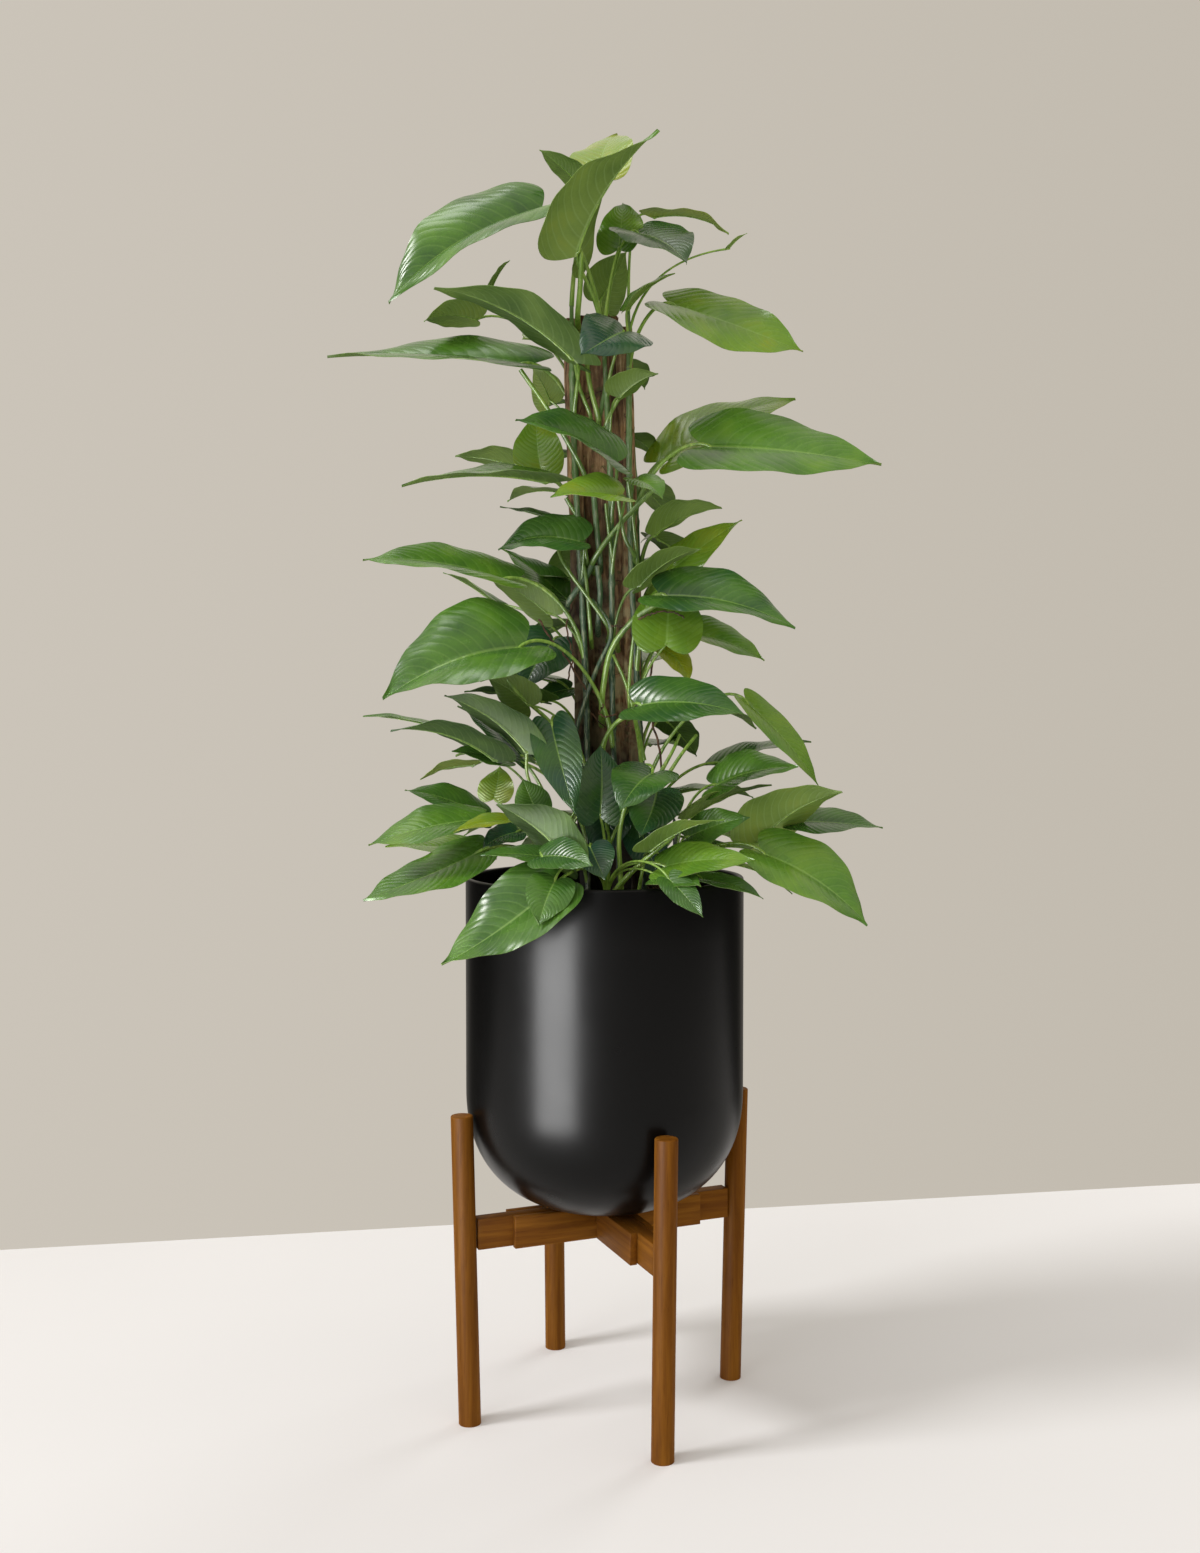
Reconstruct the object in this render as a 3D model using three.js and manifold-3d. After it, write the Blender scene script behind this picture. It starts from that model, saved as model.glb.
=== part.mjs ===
// A jade pothos that climbs a pole of three bark slats, in a round-bottomed metal pot on a wooden
// stand. Millimetres, +Z up. The origin lies on the floor, on the axis of the pot and the stand.
// The photograph looks along +Y, and +X is to its right.
import * as THREE from "three";
import { mergeVertices } from "three/addons/utils/BufferGeometryUtils.js";
import Module from "manifold-3d";

// Driving dimensions, in millimetres and degrees
const GAP = 0.3;
const SHELL = { radius: 152.5, rim: 585, bottom: 222.3, wall: 6, curveHeight: 131, power: 2.3, flat: 22 };
const LEG = { height: 334, radius: 12, footCircle: 156.5, splay: 8, roundOver: 1.5, sides: 18 };
const STAND_TURN = 22.1;
const BEAM = { top: 222, rail: 33, board: 34, railThick: 16, boardThick: 8, boardHalf: 110 };
const SOIL_TOP = 561;
const POLE = { footX: 15, lean: 0.03, foot: 420, top: 1199, thick: 10 };
const SLATS = [
  { name: "slat_left", x: -33, y: -1, width: 17, top: -6 },
  { name: "slat_middle", x: -4, y: 11.5, width: 44, top: 0 },
  { name: "slat_right", x: 24, y: 1, width: 17.5, top: -14 },
];
const STEM_RADIUS = 3.6;
const STEM_SUNK = 50;
const STEM_HOLE = 0.6;
const BLADE_THICK = 0.8;
const VIEWER = [0, -1];

// Colours, as sRGB
const BLACK_PAINT = { color: 0x1b1b1c, roughness: 0.35, metalness: 0.0 };
const WALNUT = { color: 0x7d4d1c, roughness: 0.5, metalness: 0 };
const BARK = { color: 0x5c4230, roughness: 0.95, metalness: 0 };
const EARTH = { color: 0x3a2a1f, roughness: 1, metalness: 0 };
const LEAF_GREEN = { color: 0x41802f, roughness: 0.4, metalness: 0 };

const UP = new THREE.Vector3(0, 0, 1);
const plant = new THREE.Group();
plant.name = "potted_pothos";

const wasm = await Module();
wasm.setup();

function solid(geometry) {
  const bare = geometry.clone();
  bare.deleteAttribute("normal");
  bare.deleteAttribute("uv");
  const merged = mergeVertices(bare, 1e-4);
  return new wasm.Manifold(
    new wasm.Mesh({
      numProp: 3,
      vertProperties: new Float32Array(merged.attributes.position.array),
      triVerts: new Uint32Array(merged.index.array),
    }),
  );
}

function geometryOf(body) {
  const mesh = body.getMesh();
  const geometry = new THREE.BufferGeometry();
  geometry.setAttribute("position", new THREE.BufferAttribute(mesh.vertProperties, 3));
  geometry.setIndex(new THREE.BufferAttribute(mesh.triVerts, 1));
  geometry.computeVertexNormals();
  return geometry;
}

function addPiece(name, geometry, finish, parent = plant) {
  const mesh = new THREE.Mesh(geometry, new THREE.MeshStandardMaterial(finish));
  mesh.name = name;
  parent.add(mesh);
  return mesh;
}

// A lathe turns round +Y, so its piece is stood up on +Z.
function lathe(profile, sides) {
  const points = profile.map(([radius, height]) => new THREE.Vector2(radius, height));
  return new THREE.LatheGeometry(points, sides).rotateX(Math.PI / 2);
}

function box(size, centre) {
  return new THREE.BoxGeometry(...size).translate(...centre);
}

// The stand's legs: turned dowels that lean out a little, as their feet stand closer in than
// their tops. They are sheared, not tilted, so that each foot stays flat on the floor.
const stand = new THREE.Group();
stand.rotation.z = THREE.MathUtils.degToRad(STAND_TURN);
plant.add(stand);
const LEG_NAMES = ["right", "back", "left", "front"];
const legProfile = [
  [0, 0],
  [LEG.radius, 0],
  [LEG.radius, LEG.height - LEG.roundOver],
  [LEG.radius - 0.3 * LEG.roundOver, LEG.height - 0.3 * LEG.roundOver],
  [LEG.radius - LEG.roundOver, LEG.height],
  [0, LEG.height],
];
const splay = new THREE.Matrix4().makeShear(0, 0, 0, 0, LEG.splay / LEG.height, 0);
const legAt = (height) => LEG.footCircle + (LEG.splay * height) / LEG.height;

// Each leg's rail runs in between the two boards of its beam, and stops short of the crossing.
const beamHalf = BEAM.railThick / 2 + GAP + BEAM.boardThick;
const railIn = beamHalf + 1;
const railOut = legAt(BEAM.top - BEAM.rail) - LEG.radius - GAP;
const railGeometry = box(
  [railOut - railIn, BEAM.railThick, BEAM.rail],
  [(railOut + railIn) / 2, 0, BEAM.top - BEAM.rail / 2],
);
LEG_NAMES.forEach((name, quarter) => {
  const arm = new THREE.Group();
  arm.rotation.z = (quarter * Math.PI) / 2;
  stand.add(arm);
  const leg = lathe(legProfile, LEG.sides).applyMatrix4(splay).translate(LEG.footCircle, 0, 0);
  addPiece("leg_" + name, leg, WALNUT, arm);
  addPiece("rail_" + name, railGeometry, WALNUT, arm);
});

// The boards of the two beams, half-lapped: the long beam's are notched from above, the cross
// beam's from below.
const boardMiddle = BEAM.railThick / 2 + GAP + BEAM.boardThick / 2;
const notchHalf = BEAM.boardThick / 2 + GAP;
function boardGeometry(side, notchedFromAbove) {
  const blank = box(
    [2 * BEAM.boardHalf, BEAM.boardThick, BEAM.board],
    [0, side * boardMiddle, BEAM.top - BEAM.board / 2],
  );
  const notchZ = BEAM.top - (notchedFromAbove ? 0.25 : 0.75) * BEAM.board;
  const notchSize = [2 * notchHalf, BEAM.boardThick + 2, BEAM.board / 2 + 2 * GAP];
  let body = solid(blank);
  for (const end of [-1, 1]) {
    const over = notchedFromAbove ? GAP : -GAP;
    body = body.subtract(solid(box(notchSize, [end * boardMiddle, side * boardMiddle, notchZ + over])));
  }
  return geometryOf(body);
}
[
  ["board_long_front", -1, true, 0],
  ["board_long_back", 1, true, 0],
  ["board_cross_right", -1, false, 90],
  ["board_cross_left", 1, false, 90],
].forEach(([name, side, fromAbove, turn]) => {
  const board = addPiece(name, boardGeometry(side, fromAbove), WALNUT, stand);
  board.rotation.z = THREE.MathUtils.degToRad(turn);
});

// The pot: straight-walled above, its bottom drawn round in one even curve with a small flat.
function shellRadius(height, inset) {
  const radius = SHELL.radius - inset;
  const bottom = SHELL.bottom + inset;
  const down = Math.max(0, 1 - (height - bottom) / (SHELL.curveHeight - inset));
  const round = Math.max(0, 1 - down ** SHELL.power) ** (1 / SHELL.power);
  return SHELL.flat + (radius - SHELL.flat) * round;
}
const OUTER_STEPS = [0, 0.03, 0.12, 0.3, 0.6, 1];
const INNER_STEPS = [0, 0.12, 0.45, 1];
function shellCurve(inset, top) {
  const bottom = SHELL.bottom + inset;
  const steps = inset > 0 ? INNER_STEPS : OUTER_STEPS;
  const curved = steps.map((step) => bottom + step * (SHELL.curveHeight - inset));
  const heights = [...curved.filter((height) => height < top), top];
  const wall = heights.map((height) => [shellRadius(height, inset), height]);
  return [[0, bottom], ...wall];
}
const POT_SIDES = 32;
const rimRound = [
  [SHELL.radius - 1, SHELL.rim],
  [SHELL.radius - SHELL.wall + 1, SHELL.rim],
];
const potProfile = [
  ...shellCurve(0, SHELL.rim - 1),
  ...rimRound,
  ...shellCurve(SHELL.wall, SHELL.rim - 1).reverse(),
];
addPiece("pot", lathe(potProfile, POT_SIDES), BLACK_PAINT);

// The pole: three bark slats that stand in the soil and lean a little to the left.
const poleX = (height) => POLE.footX - POLE.lean * (height - SOIL_TOP);
const slatAngles = [0, 1, 2, 3, 4, 5, 6, 7].map((step) => (step * Math.PI) / 4 + Math.PI / 8);
const SLAT_STEPS = 7;
const SLAT_WOBBLE = 0.08;
const SLAT_FULLNESS = 1.05;
function slatGeometry({ x, y, width, top }, phase, grown = 0) {
  const rings = [];
  const foot = POLE.foot - grown;
  const height = POLE.top + top;
  for (let step = 0; step <= SLAT_STEPS; step++) {
    const z = foot + ((height - foot) * step) / SLAT_STEPS;
    const wobble = 1 + SLAT_WOBBLE * Math.sin(2.1 * step + phase);
    const halfWide = SLAT_FULLNESS * ((width / 2) * wobble + grown);
    const halfThick = SLAT_FULLNESS * ((POLE.thick / 2) * wobble + grown);
    const middle = poleX(z) + x;
    rings.push(
      slatAngles.map((angle) => [middle + halfWide * Math.cos(angle), y + halfThick * Math.sin(angle), z]),
    );
  }
  return loft(rings);
}

// A closed body through rings of points that run anticlockwise seen from above.
function loft(rings) {
  const count = rings[0].length;
  const points = rings.flat(2);
  const faces = [];
  for (let ring = 0; ring + 1 < rings.length; ring++) {
    for (let k = 0; k < count; k++) {
      const next = (k + 1) % count;
      const a = ring * count + k;
      const b = ring * count + next;
      faces.push(a, b, b + count, a, b + count, a + count);
    }
  }
  const last = (rings.length - 1) * count;
  for (let k = 1; k + 1 < count; k++) {
    faces.push(0, k + 1, k);
    faces.push(last, last + k, last + k + 1);
  }
  const geometry = new THREE.BufferGeometry();
  geometry.setAttribute("position", new THREE.Float32BufferAttribute(points, 3));
  geometry.setIndex(faces);
  return geometry;
}
SLATS.forEach((slat, index) => addPiece(slat.name, slatGeometry(slat, index), BARK));

// The vines: where each stem stands beside the pole, and how high it climbs. A base shoot has
// its own place in the soil. Stems weave a little as they climb.
const VINES = {
  left: { x: -31, y: -14, top: 1205 },
  front: { x: 2, y: -18, top: 1165 },
  right: { x: 27, y: -14, top: 1195 },
  back_right: { x: 30, y: 24, top: 1150 },
  back: { x: 4, y: 34, top: 1200 },
  back_left: { x: -28, y: 24, top: 1160 },
  base_left: { x: -70, y: -30, top: 640 },
  base_front: { x: -10, y: -80, top: 640 },
  base_right: { x: 60, y: -40, top: 650 },
  base_back: { x: -10, y: 78, top: 640 },
};
const WEAVE = 2.5;
function stemAt(vine, height) {
  const { x, y } = VINES[vine];
  const phase = x + y;
  const climb = (height - SOIL_TOP) / 90;
  return new THREE.Vector3(
    poleX(height) + x + WEAVE * Math.sin(climb + phase),
    y + WEAVE * Math.cos(1.3 * climb + phase),
    height,
  );
}

// Leaves placed as they hang in view: vine, blade base, tip, width, how far the upper face is
// turned towards the viewer, the fold along the midrib, and how far the midrib is arched. The last
// one reaches as far back as the front-most one does forward.
const LEAVES = [
  ["front", [-70, -25, 1295], [-225, -75, 1190], 118, 32, 34, 0.1],
  ["front", [-30, -48, 1244], [55, -90, 1360], 118, -5, 34, 0.1],
  ["left", [-5, 0, 1345], [15, 95, 1424], 74, 0, 10, 0.06],
  ["left", [-25, 5, 1335], [-70, -20, 1365], 36, -20, 25, 0.05],
  ["front", [15, -5, 1265], [20, 45, 1330], 52, -25, 15, 0.05],
  ["front", [35, -10, 1280], [85, -75, 1230], 84, 30, 18, 0.05],
  ["back_right", [52, 40, 1313], [137, 27, 1292], 74, 16, 15, 0.1],
  ["right", [135, 10, 1270], [155, 5, 1285], 15, 10, 30, 0.05],
  ["back", [-5, 15, 1215], [25, 35, 1275], 58, -45, 12, 0.05],
  ["right", [25, -25, 1195], [75, -35, 1230], 40, 20, 30, 0.08],
  ["right", [72, -4, 1206], [210, -45, 1145], 98, 26, 8, 0.03],
  ["back_left", [-140, 20, 1195], [-195, -15, 1185], 46, -30, 20, 0.1],
  ["left", [-125, 35, 1235], [-105, 35, 1265], 22, 0, 30, 0.05],
  ["left", [-30, -60, 1130], [-175, -92, 1200], 104, 0, 18, 0.1],
  ["front", [20, -50, 1165], [-25, -135, 1120], 74, 70, 16, 0.06],
  ["back_left", [-84, -15, 1138], [-300, -10, 1147], 92, 33, 24, 0.03],
  ["back_left", [-45, 30, 1155], [-95, 105, 1195], 74, -10, 12, 0.06],
  ["back_left", [-60, 15, 1105], [-80, 30, 1145], 40, -60, 10, 0.05],
  ["front", [15, -55, 1095], [55, -80, 1115], 46, -10, 40, 0.08],
  ["front", [10, -65, 1025], [-90, -120, 1060], 78, 45, 32, 0.06],
  ["back_left", [-70, 15, 1030], [-75, 30, 1095], 56, 70, 10, 0.05],
  ["back_left", [-95, 60, 1040], [-170, 75, 1055], 60, -20, 14, 0.06],
  ["back_left", [-58, -12, 1012], [-215, -50, 1002], 84, 16, 24, 0.06],
  ["front", [15, -90, 985], [-55, -130, 980], 54, 45, 32, 0.1],
  ["right", [35, -45, 1010], [60, -85, 985], 40, 30, 18, 0.08],
  ["left", [-25, -34, 945], [-115, -20, 940], 70, 38, 30, 0.1],
  ["back_left", [-40, 20, 970], [-115, 11, 990], 46, 20, 14, 0.04],
  ["back_right", [72, 35, 1044], [215, 55, 1115], 102, 26, 12, 0.1],
  ["right", [108, -24, 1049], [290, -65, 1022], 114, 46, 16, 0.05],
  ["back_right", [54, 8, 957], [130, 25, 990], 72, -18, 30, 0.1],
  ["back_right", [55, 25, 908], [150, 5, 975], 64, 40, 12, 0.06],
  ["front", [35, -60, 895], [100, -75, 935], 60, -10, 20, 0.08],
  ["right", [60, -70, 885], [195, -110, 850], 84, 42, 30, 0.06],
  ["right", [65, -50, 835], [70, -15, 905], 76, 60, 12, 0.06],
  ["back_right", [80, 20, 850], [175, 0, 820], 62, 26, 30, 0.1],
  ["right", [64, -4, 833], [91, -28, 795], 40, 20, 14, 0.1],
  ["right", [35, -85, 770], [145, -125, 760], 74, 46, 18, 0.1],
  ["right", [154, -27, 773], [229, -45, 685], 39, 30, 24, 0.08],
  ["back_right", [70, 40, 755], [105, 60, 715], 60, -10, 12, 0.05],
  ["base_right", [120, -25, 684], [205, -60, 706], 74, 36, 24, 0.08],
  ["back_right", [130, 40, 705], [235, 60, 730], 60, 10, 14, 0.08],
  ["base_right", [90, -45, 650], [180, -35, 685], 54, -20, 20, 0.08],
  ["base_right", [160, -45, 620], [250, -70, 680], 86, -34, 30, 0.1],
  ["base_right", [208, -8, 645], [300, -32, 640], 60, 30, 16, 0.03],
  ["base_right", [165, -75, 615], [270, -115, 545], 90, 30, 24, 0.06],
  ["base_right", [45, -115, 620], [120, -140, 655], 54, -15, 24, 0.08],
  ["base_front", [60, -120, 605], [150, -155, 615], 54, 40, 14, 0.08],
  ["base_front", [55, -130, 595], [95, -170, 590], 44, 36, 14, 0.05],
  ["base_front", [64, -154, 596], [96, -188, 562], 32, 40, 16, 0.05],
  ["base_right", [100, -100, 590], [160, -140, 575], 30, 20, 24, 0.08],
  ["base_right", [125, -65, 605], [195, -95, 575], 36, -10, 20, 0.08],
  ["base_left", [50, -95, 700], [15, -160, 665], 66, 30, 20, 0.08],
  ["base_front", [-5, -90, 655], [-5, -63, 730], 58, 50, 12, 0.05],
  ["base_front", [55, -60, 680], [35, -125, 635], 60, 60, 12, 0.05],
  ["front", [-85, -80, 831], [-225, -130, 776], 132, 42, 30, 0.1],
  ["back_left", [-56, 26, 845], [-88, 6, 790], 76, 40, 14, 0.06],
  ["back_left", [-120, 65, 885], [-185, 85, 925], 34, 0, 30, 0.04],
  ["left", [-105, -30, 905], [-255, -60, 925], 80, 26, 24, 0.05],
  ["left", [-60, -5, 870], [-125, -20, 910], 48, -40, 16, 0.1],
  ["back_left", [-42, 42, 890], [-116, 52, 948], 60, 26, 16, 0.06],
  ["left", [-80, -95, 720], [-165, -110, 780], 66, -20, 30, 0.1],
  ["base_left", [-150, 10, 735], [-265, 0, 760], 46, 0, 20, 0.05],
  ["left", [-115, -45, 710], [-225, -70, 745], 78, -14, 24, 0.1],
  ["base_left", [-145, 25, 705], [-205, 20, 690], 40, -10, 18, 0.08],
  ["base_left", [-135, -10, 650], [-215, -35, 680], 58, 30, 16, 0.06],
  ["base_left", [-135, -66, 650], [-245, -98, 625], 72, 20, 16, 0.06],
  ["left", [-100, -85, 650], [-155, -115, 640], 32, 20, 20, 0.06],
  ["base_left", [-135, -10, 610], [-235, -45, 620], 60, 25, 8, 0.03],
  ["base_left", [-135, -65, 615], [-250, -105, 570], 80, 22, 8, 0],
  ["left", [-55, -95, 750], [-30, -135, 660], 50, 80, 16, 0.06],
  ["base_front", [-35, -145, 610], [-110, -130, 670], 72, -38, 30, 0.1],
  ["base_front", [-64, -150, 618], [-12, -185, 612], 46, 42, 18, 0.06],
  ["base_front", [-50, -150, 590], [-160, -190, 515], 92, 40, 24, 0],
  ["base_front", [-50, -165, 595], [-65, -200, 555], 48, 60, 14, 0.05],
  ["base_front", [-60, -120, 615], [-125, -145, 620], 36, 30, 14, 0.06],
  ["base_left", [-95, -40, 635], [-130, -60, 620], 40, 30, 14, 0.06],
  ["base_left", [-120, -20, 670], [-115, 0, 705], 40, 40, 12, 0.05],
  ["base_front", [-70, -105, 660], [-85, -100, 695], 40, 40, 12, 0.05],
  ["left", [-90, -20, 715], [-160, -20, 770], 70, 20, 14, 0.06],
  ["back_left", [-65, -20, 775], [-150, -45, 785], 56, -10, 16, 0.06],
  ["left", [-80, -60, 770], [-125, -65, 800], 50, -50, 12, 0.06],
  ["base_front", [-15, -120, 625], [0, -150, 595], 44, 40, 14, 0.05],
  ["base_right", [88, -70, 632], [150, -95, 655], 50, 40, 14, 0.06],
  ["base_left", [8, -46, 682], [-10, -62, 606], 58, 70, 14, 0.06],
  ["base_right", [38, -44, 640], [60, -64, 582], 46, 65, 14, 0.06],
  ["back_left", [-38, 28, 790], [-80, 20, 775], 40, 35, 14, 0.06],
  ["left", [-105, -20, 712], [-165, -30, 722], 44, 30, 14, 0.06],
  ["base_back", [0, 108, 640], [0, 200, 622], 54, 30, 14, 0.08, [0, 1]],
];

// Leaves round the back, by rule: each stands a little higher than the last and points well away
// from it, so that the back is as full as the front. Small seeded draws vary their size and droop.
// The higher ones are smaller and keep closer behind the pole. A lower ring of them hangs out over
// the pot's rim, with the list's last leaf in its middle.
const BACK = { count: 28, low: 678, high: 1160, uneven: 7, astray: 5, shorter: 32, gathered: 0.6 };
const BACK_LENGTH = [84, 138];
const BACK_REACH = [56, 82];
const BACK_DROOP = { least: -4, low: 20, more: 22 };
const BACK_TURNS = [30, 96, 150, 60, 122, 22, 84, 160, 46, 108, 136];
const SKIRT = { count: 8, low: 612, step: 15, uneven: 4, from: 18, to: 162 };
const SKIRT_LENGTH = [78, 96];
const SKIRT_REACH = [100, 112];
const SKIRT_DROOP = [8, 16];
let seed = 5011;
function draw(low, high) {
  seed = (seed * 16807) % 2147483647;
  return low + ((high - low) * seed) / 2147483647;
}
const LENGTH_TO_WIDTH = 0.6;
const OUTWARD_LEAN = 30;
const OUTWARD_FOLD = 14;
const OUTWARD_ARCH = 0.08;
function outwardLeaf(vine, turn, height, reach, length, droop) {
  const angle = THREE.MathUtils.degToRad(turn);
  const out = [Math.cos(angle), Math.sin(angle)];
  const fall = THREE.MathUtils.degToRad(droop);
  const from = poleX(height);
  const base = [from + out[0] * reach, out[1] * reach, height];
  const far = reach + length * Math.cos(fall);
  const tip = [from + out[0] * far, out[1] * far, height - length * Math.sin(fall)];
  return [vine, base, tip, LENGTH_TO_WIDTH * length, OUTWARD_LEAN, OUTWARD_FOLD, OUTWARD_ARCH, out];
}
const backVine = (turn) => (turn < 72 ? "back_right" : turn > 108 ? "back_left" : "back");
for (let k = 0; k < BACK.count; k++) {
  const share = k / (BACK.count - 1);
  const spread = 1 - BACK.gathered * share;
  const turn = 90 + (BACK_TURNS[k % BACK_TURNS.length] - 90) * spread + draw(-BACK.astray, BACK.astray);
  const height = BACK.low + (BACK.high - BACK.low) * share + draw(-BACK.uneven, BACK.uneven);
  const length = draw(...BACK_LENGTH) - BACK.shorter * share;
  const droop = draw(BACK_DROOP.least, BACK_DROOP.low + BACK_DROOP.more * share);
  LEAVES.push(outwardLeaf(backVine(turn), turn, height, draw(...BACK_REACH), length, droop));
}
for (let k = 0; k <= SKIRT.count; k++) {
  if (2 * k === SKIRT.count) continue;
  const turn = SKIRT.from + ((SKIRT.to - SKIRT.from) * k) / SKIRT.count;
  const height = SKIRT.low + SKIRT.step * (k % 3) + draw(0, SKIRT.uneven);
  const length = draw(...SKIRT_LENGTH);
  const reach = draw(...SKIRT_REACH);
  LEAVES.push(outwardLeaf("base_back", turn, height, reach, length, draw(...SKIRT_DROOP)));
}

// No two leaves are bent alike: a midrib bows to one side by a share of its length, and a blade
// twists about it by some degrees at the tip. The leaves that show most have their own bend.
const BOW = 0.035;
const TWIST = 12;
const OWN_BENDS = new Map([
  [0, [-0.02, -8]],
  [1, [0, 42]],
  [10, [0.05, 40]],
  [13, [0.04, 10]],
  [15, [0, 14]],
  [28, [0.025, -4]],
  [30, [0.06, 0]],
  [54, [0, 6]],
  [72, [-0.04, 12]],
]);
function bendOf(index) {
  return OWN_BENDS.get(index) ?? [BOW * Math.sin(2.1 * index), TWIST * Math.sin(1.7 * index + 1)];
}

// One blade: an ovate heart with a drawn-out tip, arched along its midrib, folded across it, its
// edge waved. Both faces are split into the same triangles, and they meet at the tip.
const WIDEST = 0.27;
const BASE_SHARE = 0.5;
const LOBE = 0.13;
const EDGE_WAVE = 0.03;
const FLARE = 0.55;
const TAPER = 1.0;
const ROOT_AT = 0.04;
function halfWidth(t) {
  if (t < WIDEST) {
    const u = 1 - t / WIDEST;
    return BASE_SHARE + (1 - BASE_SHARE) * Math.sqrt(1 - u * u);
  }
  return Math.cos((Math.PI / 2) * ((t - WIDEST) / (1 - WIDEST))) ** TAPER;
}
// The longer a blade, the more rows of points it has.
function bladeRows(length) {
  if (length > 120) return [0, 0.08, 0.27, 0.52, 0.78];
  if (length > 60) return [0, 0.12, 0.38, 0.7];
  return [0, 0.2, 0.6];
}
function blade([, baseAt, tipAt, width, lean, fold, arch, out = VIEWER], index) {
  const base = new THREE.Vector3(...baseAt);
  const tip = new THREE.Vector3(...tipAt);
  const along = tip.clone().sub(base);
  const length = along.length();
  along.normalize();
  const turned = THREE.MathUtils.degToRad(lean);
  const face = new THREE.Vector3(out[0] * Math.sin(turned), out[1] * Math.sin(turned), Math.cos(turned));
  face.addScaledVector(along, -face.dot(along)).normalize();
  const across = new THREE.Vector3().crossVectors(along, face);
  const rise = Math.tan(THREE.MathUtils.degToRad(fold));
  const [bow, twist] = bendOf(index);
  const rows = bladeRows(length);
  const columns = [-1, 0, 1];
  const at = (t, w) => {
    const half = (width / 2) * halfWidth(t);
    const size = Math.abs(w);
    const back = LOBE * size * (2 - size) * (1 - t) ** 3;
    const folded = rise * half * size * (1 - FLARE * size);
    const arched = arch * length * 4 * t * (1 - t);
    const waved = EDGE_WAVE * width * w * size * Math.sin(9 * t + index + (w > 0 ? 2 : 0));
    const bowed = bow * length * 4 * t * (1 - t);
    const turn = THREE.MathUtils.degToRad(twist) * t;
    const sideways = half * w * Math.cos(turn) + (folded + waved) * Math.sin(turn);
    const upwards = (folded + waved) * Math.cos(turn) - half * w * Math.sin(turn);
    return base
      .clone()
      .addScaledVector(along, length * (t - back))
      .addScaledVector(across, bowed + sideways)
      .addScaledVector(face, arched + upwards);
  };
  const points = [];
  for (const t of rows) {
    for (const w of columns) {
      const middle = at(t, w);
      points.push(middle.clone().addScaledVector(face, BLADE_THICK / 2));
      points.push(middle.addScaledVector(face, -BLADE_THICK / 2));
    }
  }
  points.push(tip);
  const count = columns.length;
  const upper = (row, column) => 2 * (row * count + column);
  const lower = (row, column) => upper(row, column) + 1;
  const end = points.length - 1;
  const faces = [];
  const quad = (a, b, c, d) => faces.push(a, b, c, a, c, d);
  const lastRow = rows.length - 1;
  const lastColumn = count - 1;
  for (let column = 0; column < lastColumn; column++) {
    const next = column + 1;
    for (let row = 0; row < lastRow; row++) {
      quad(upper(row, column), upper(row, next), upper(row + 1, next), upper(row + 1, column));
      faces.push(lower(row, column), lower(row + 1, next), lower(row, next));
      faces.push(lower(row, column), lower(row + 1, column), lower(row + 1, next));
    }
    faces.push(upper(lastRow, column), upper(lastRow, next), end);
    faces.push(lower(lastRow, column), end, lower(lastRow, next));
    quad(upper(0, column), lower(0, column), lower(0, next), upper(0, next));
  }
  for (let row = 0; row < lastRow; row++) {
    const after = row + 1;
    quad(upper(row, 0), upper(after, 0), lower(after, 0), lower(row, 0));
    quad(upper(row, lastColumn), lower(row, lastColumn), lower(after, lastColumn), upper(after, lastColumn));
  }
  faces.push(upper(lastRow, 0), end, lower(lastRow, 0));
  faces.push(upper(lastRow, lastColumn), lower(lastRow, lastColumn), end);
  const geometry = new THREE.BufferGeometry();
  const flat = points.flatMap((point) => [point.x, point.y, point.z]);
  geometry.setAttribute("position", new THREE.Float32BufferAttribute(flat, 3));
  geometry.setIndex(faces);
  return { geometry, root: at(ROOT_AT, 0) };
}

function tube(curve, radius, sides, steps) {
  const section = new THREE.Shape();
  for (let k = 0; k < sides; k++) {
    const angle = (2 * Math.PI * k) / sides;
    const point = [radius * Math.cos(angle), radius * Math.sin(angle)];
    if (k === 0) section.moveTo(...point);
    else section.lineTo(...point);
  }
  section.closePath();
  return new THREE.ExtrudeGeometry(section, { steps, extrudePath: curve });
}

// A leaf's stalk leaves the stem lower down, rises outwards and bends over into the blade.
// It tapers to a point inside the blade's thickness. Its rings are shares of its length and radii.
const STALK_DROP = 0.55;
const STALK_LEAST_DROP = 18;
const STALK_BOW = 0.16;
const STALK_RINGS = [[0, 2], [0.4, 1.8], [0.75, 1.6], [1, 0.3]];
function stalk(vine, root) {
  const near = stemAt(vine, root.z);
  const reach = Math.hypot(root.x - near.x, root.y - near.y);
  const wanted = root.z - STALK_DROP * reach - STALK_LEAST_DROP;
  const from = stemAt(vine, Math.min(VINES[vine].top - 4, Math.max(SOIL_TOP + 12, wanted)));
  const bend = from.clone().lerp(root, 0.5);
  bend.z += STALK_BOW * from.distanceTo(root);
  const curve = new THREE.QuadraticBezierCurve3(from, bend, root);
  const side = new THREE.Vector3().crossVectors(root.clone().sub(from), UP);
  if (side.length() < 1) side.set(1, 0, 0);
  side.normalize();
  const rings = STALK_RINGS.map(([share, radius]) => {
    const centre = curve.getPoint(share);
    const other = new THREE.Vector3().crossVectors(curve.getTangent(share), side);
    return [0, 1, 2].map((corner) => {
      const angle = (2 * Math.PI * corner) / 3;
      const point = centre.clone().addScaledVector(side, radius * Math.cos(angle));
      point.addScaledVector(other, radius * Math.sin(angle));
      return [point.x, point.y, point.z];
    });
  });
  return loft(rings);
}

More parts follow.
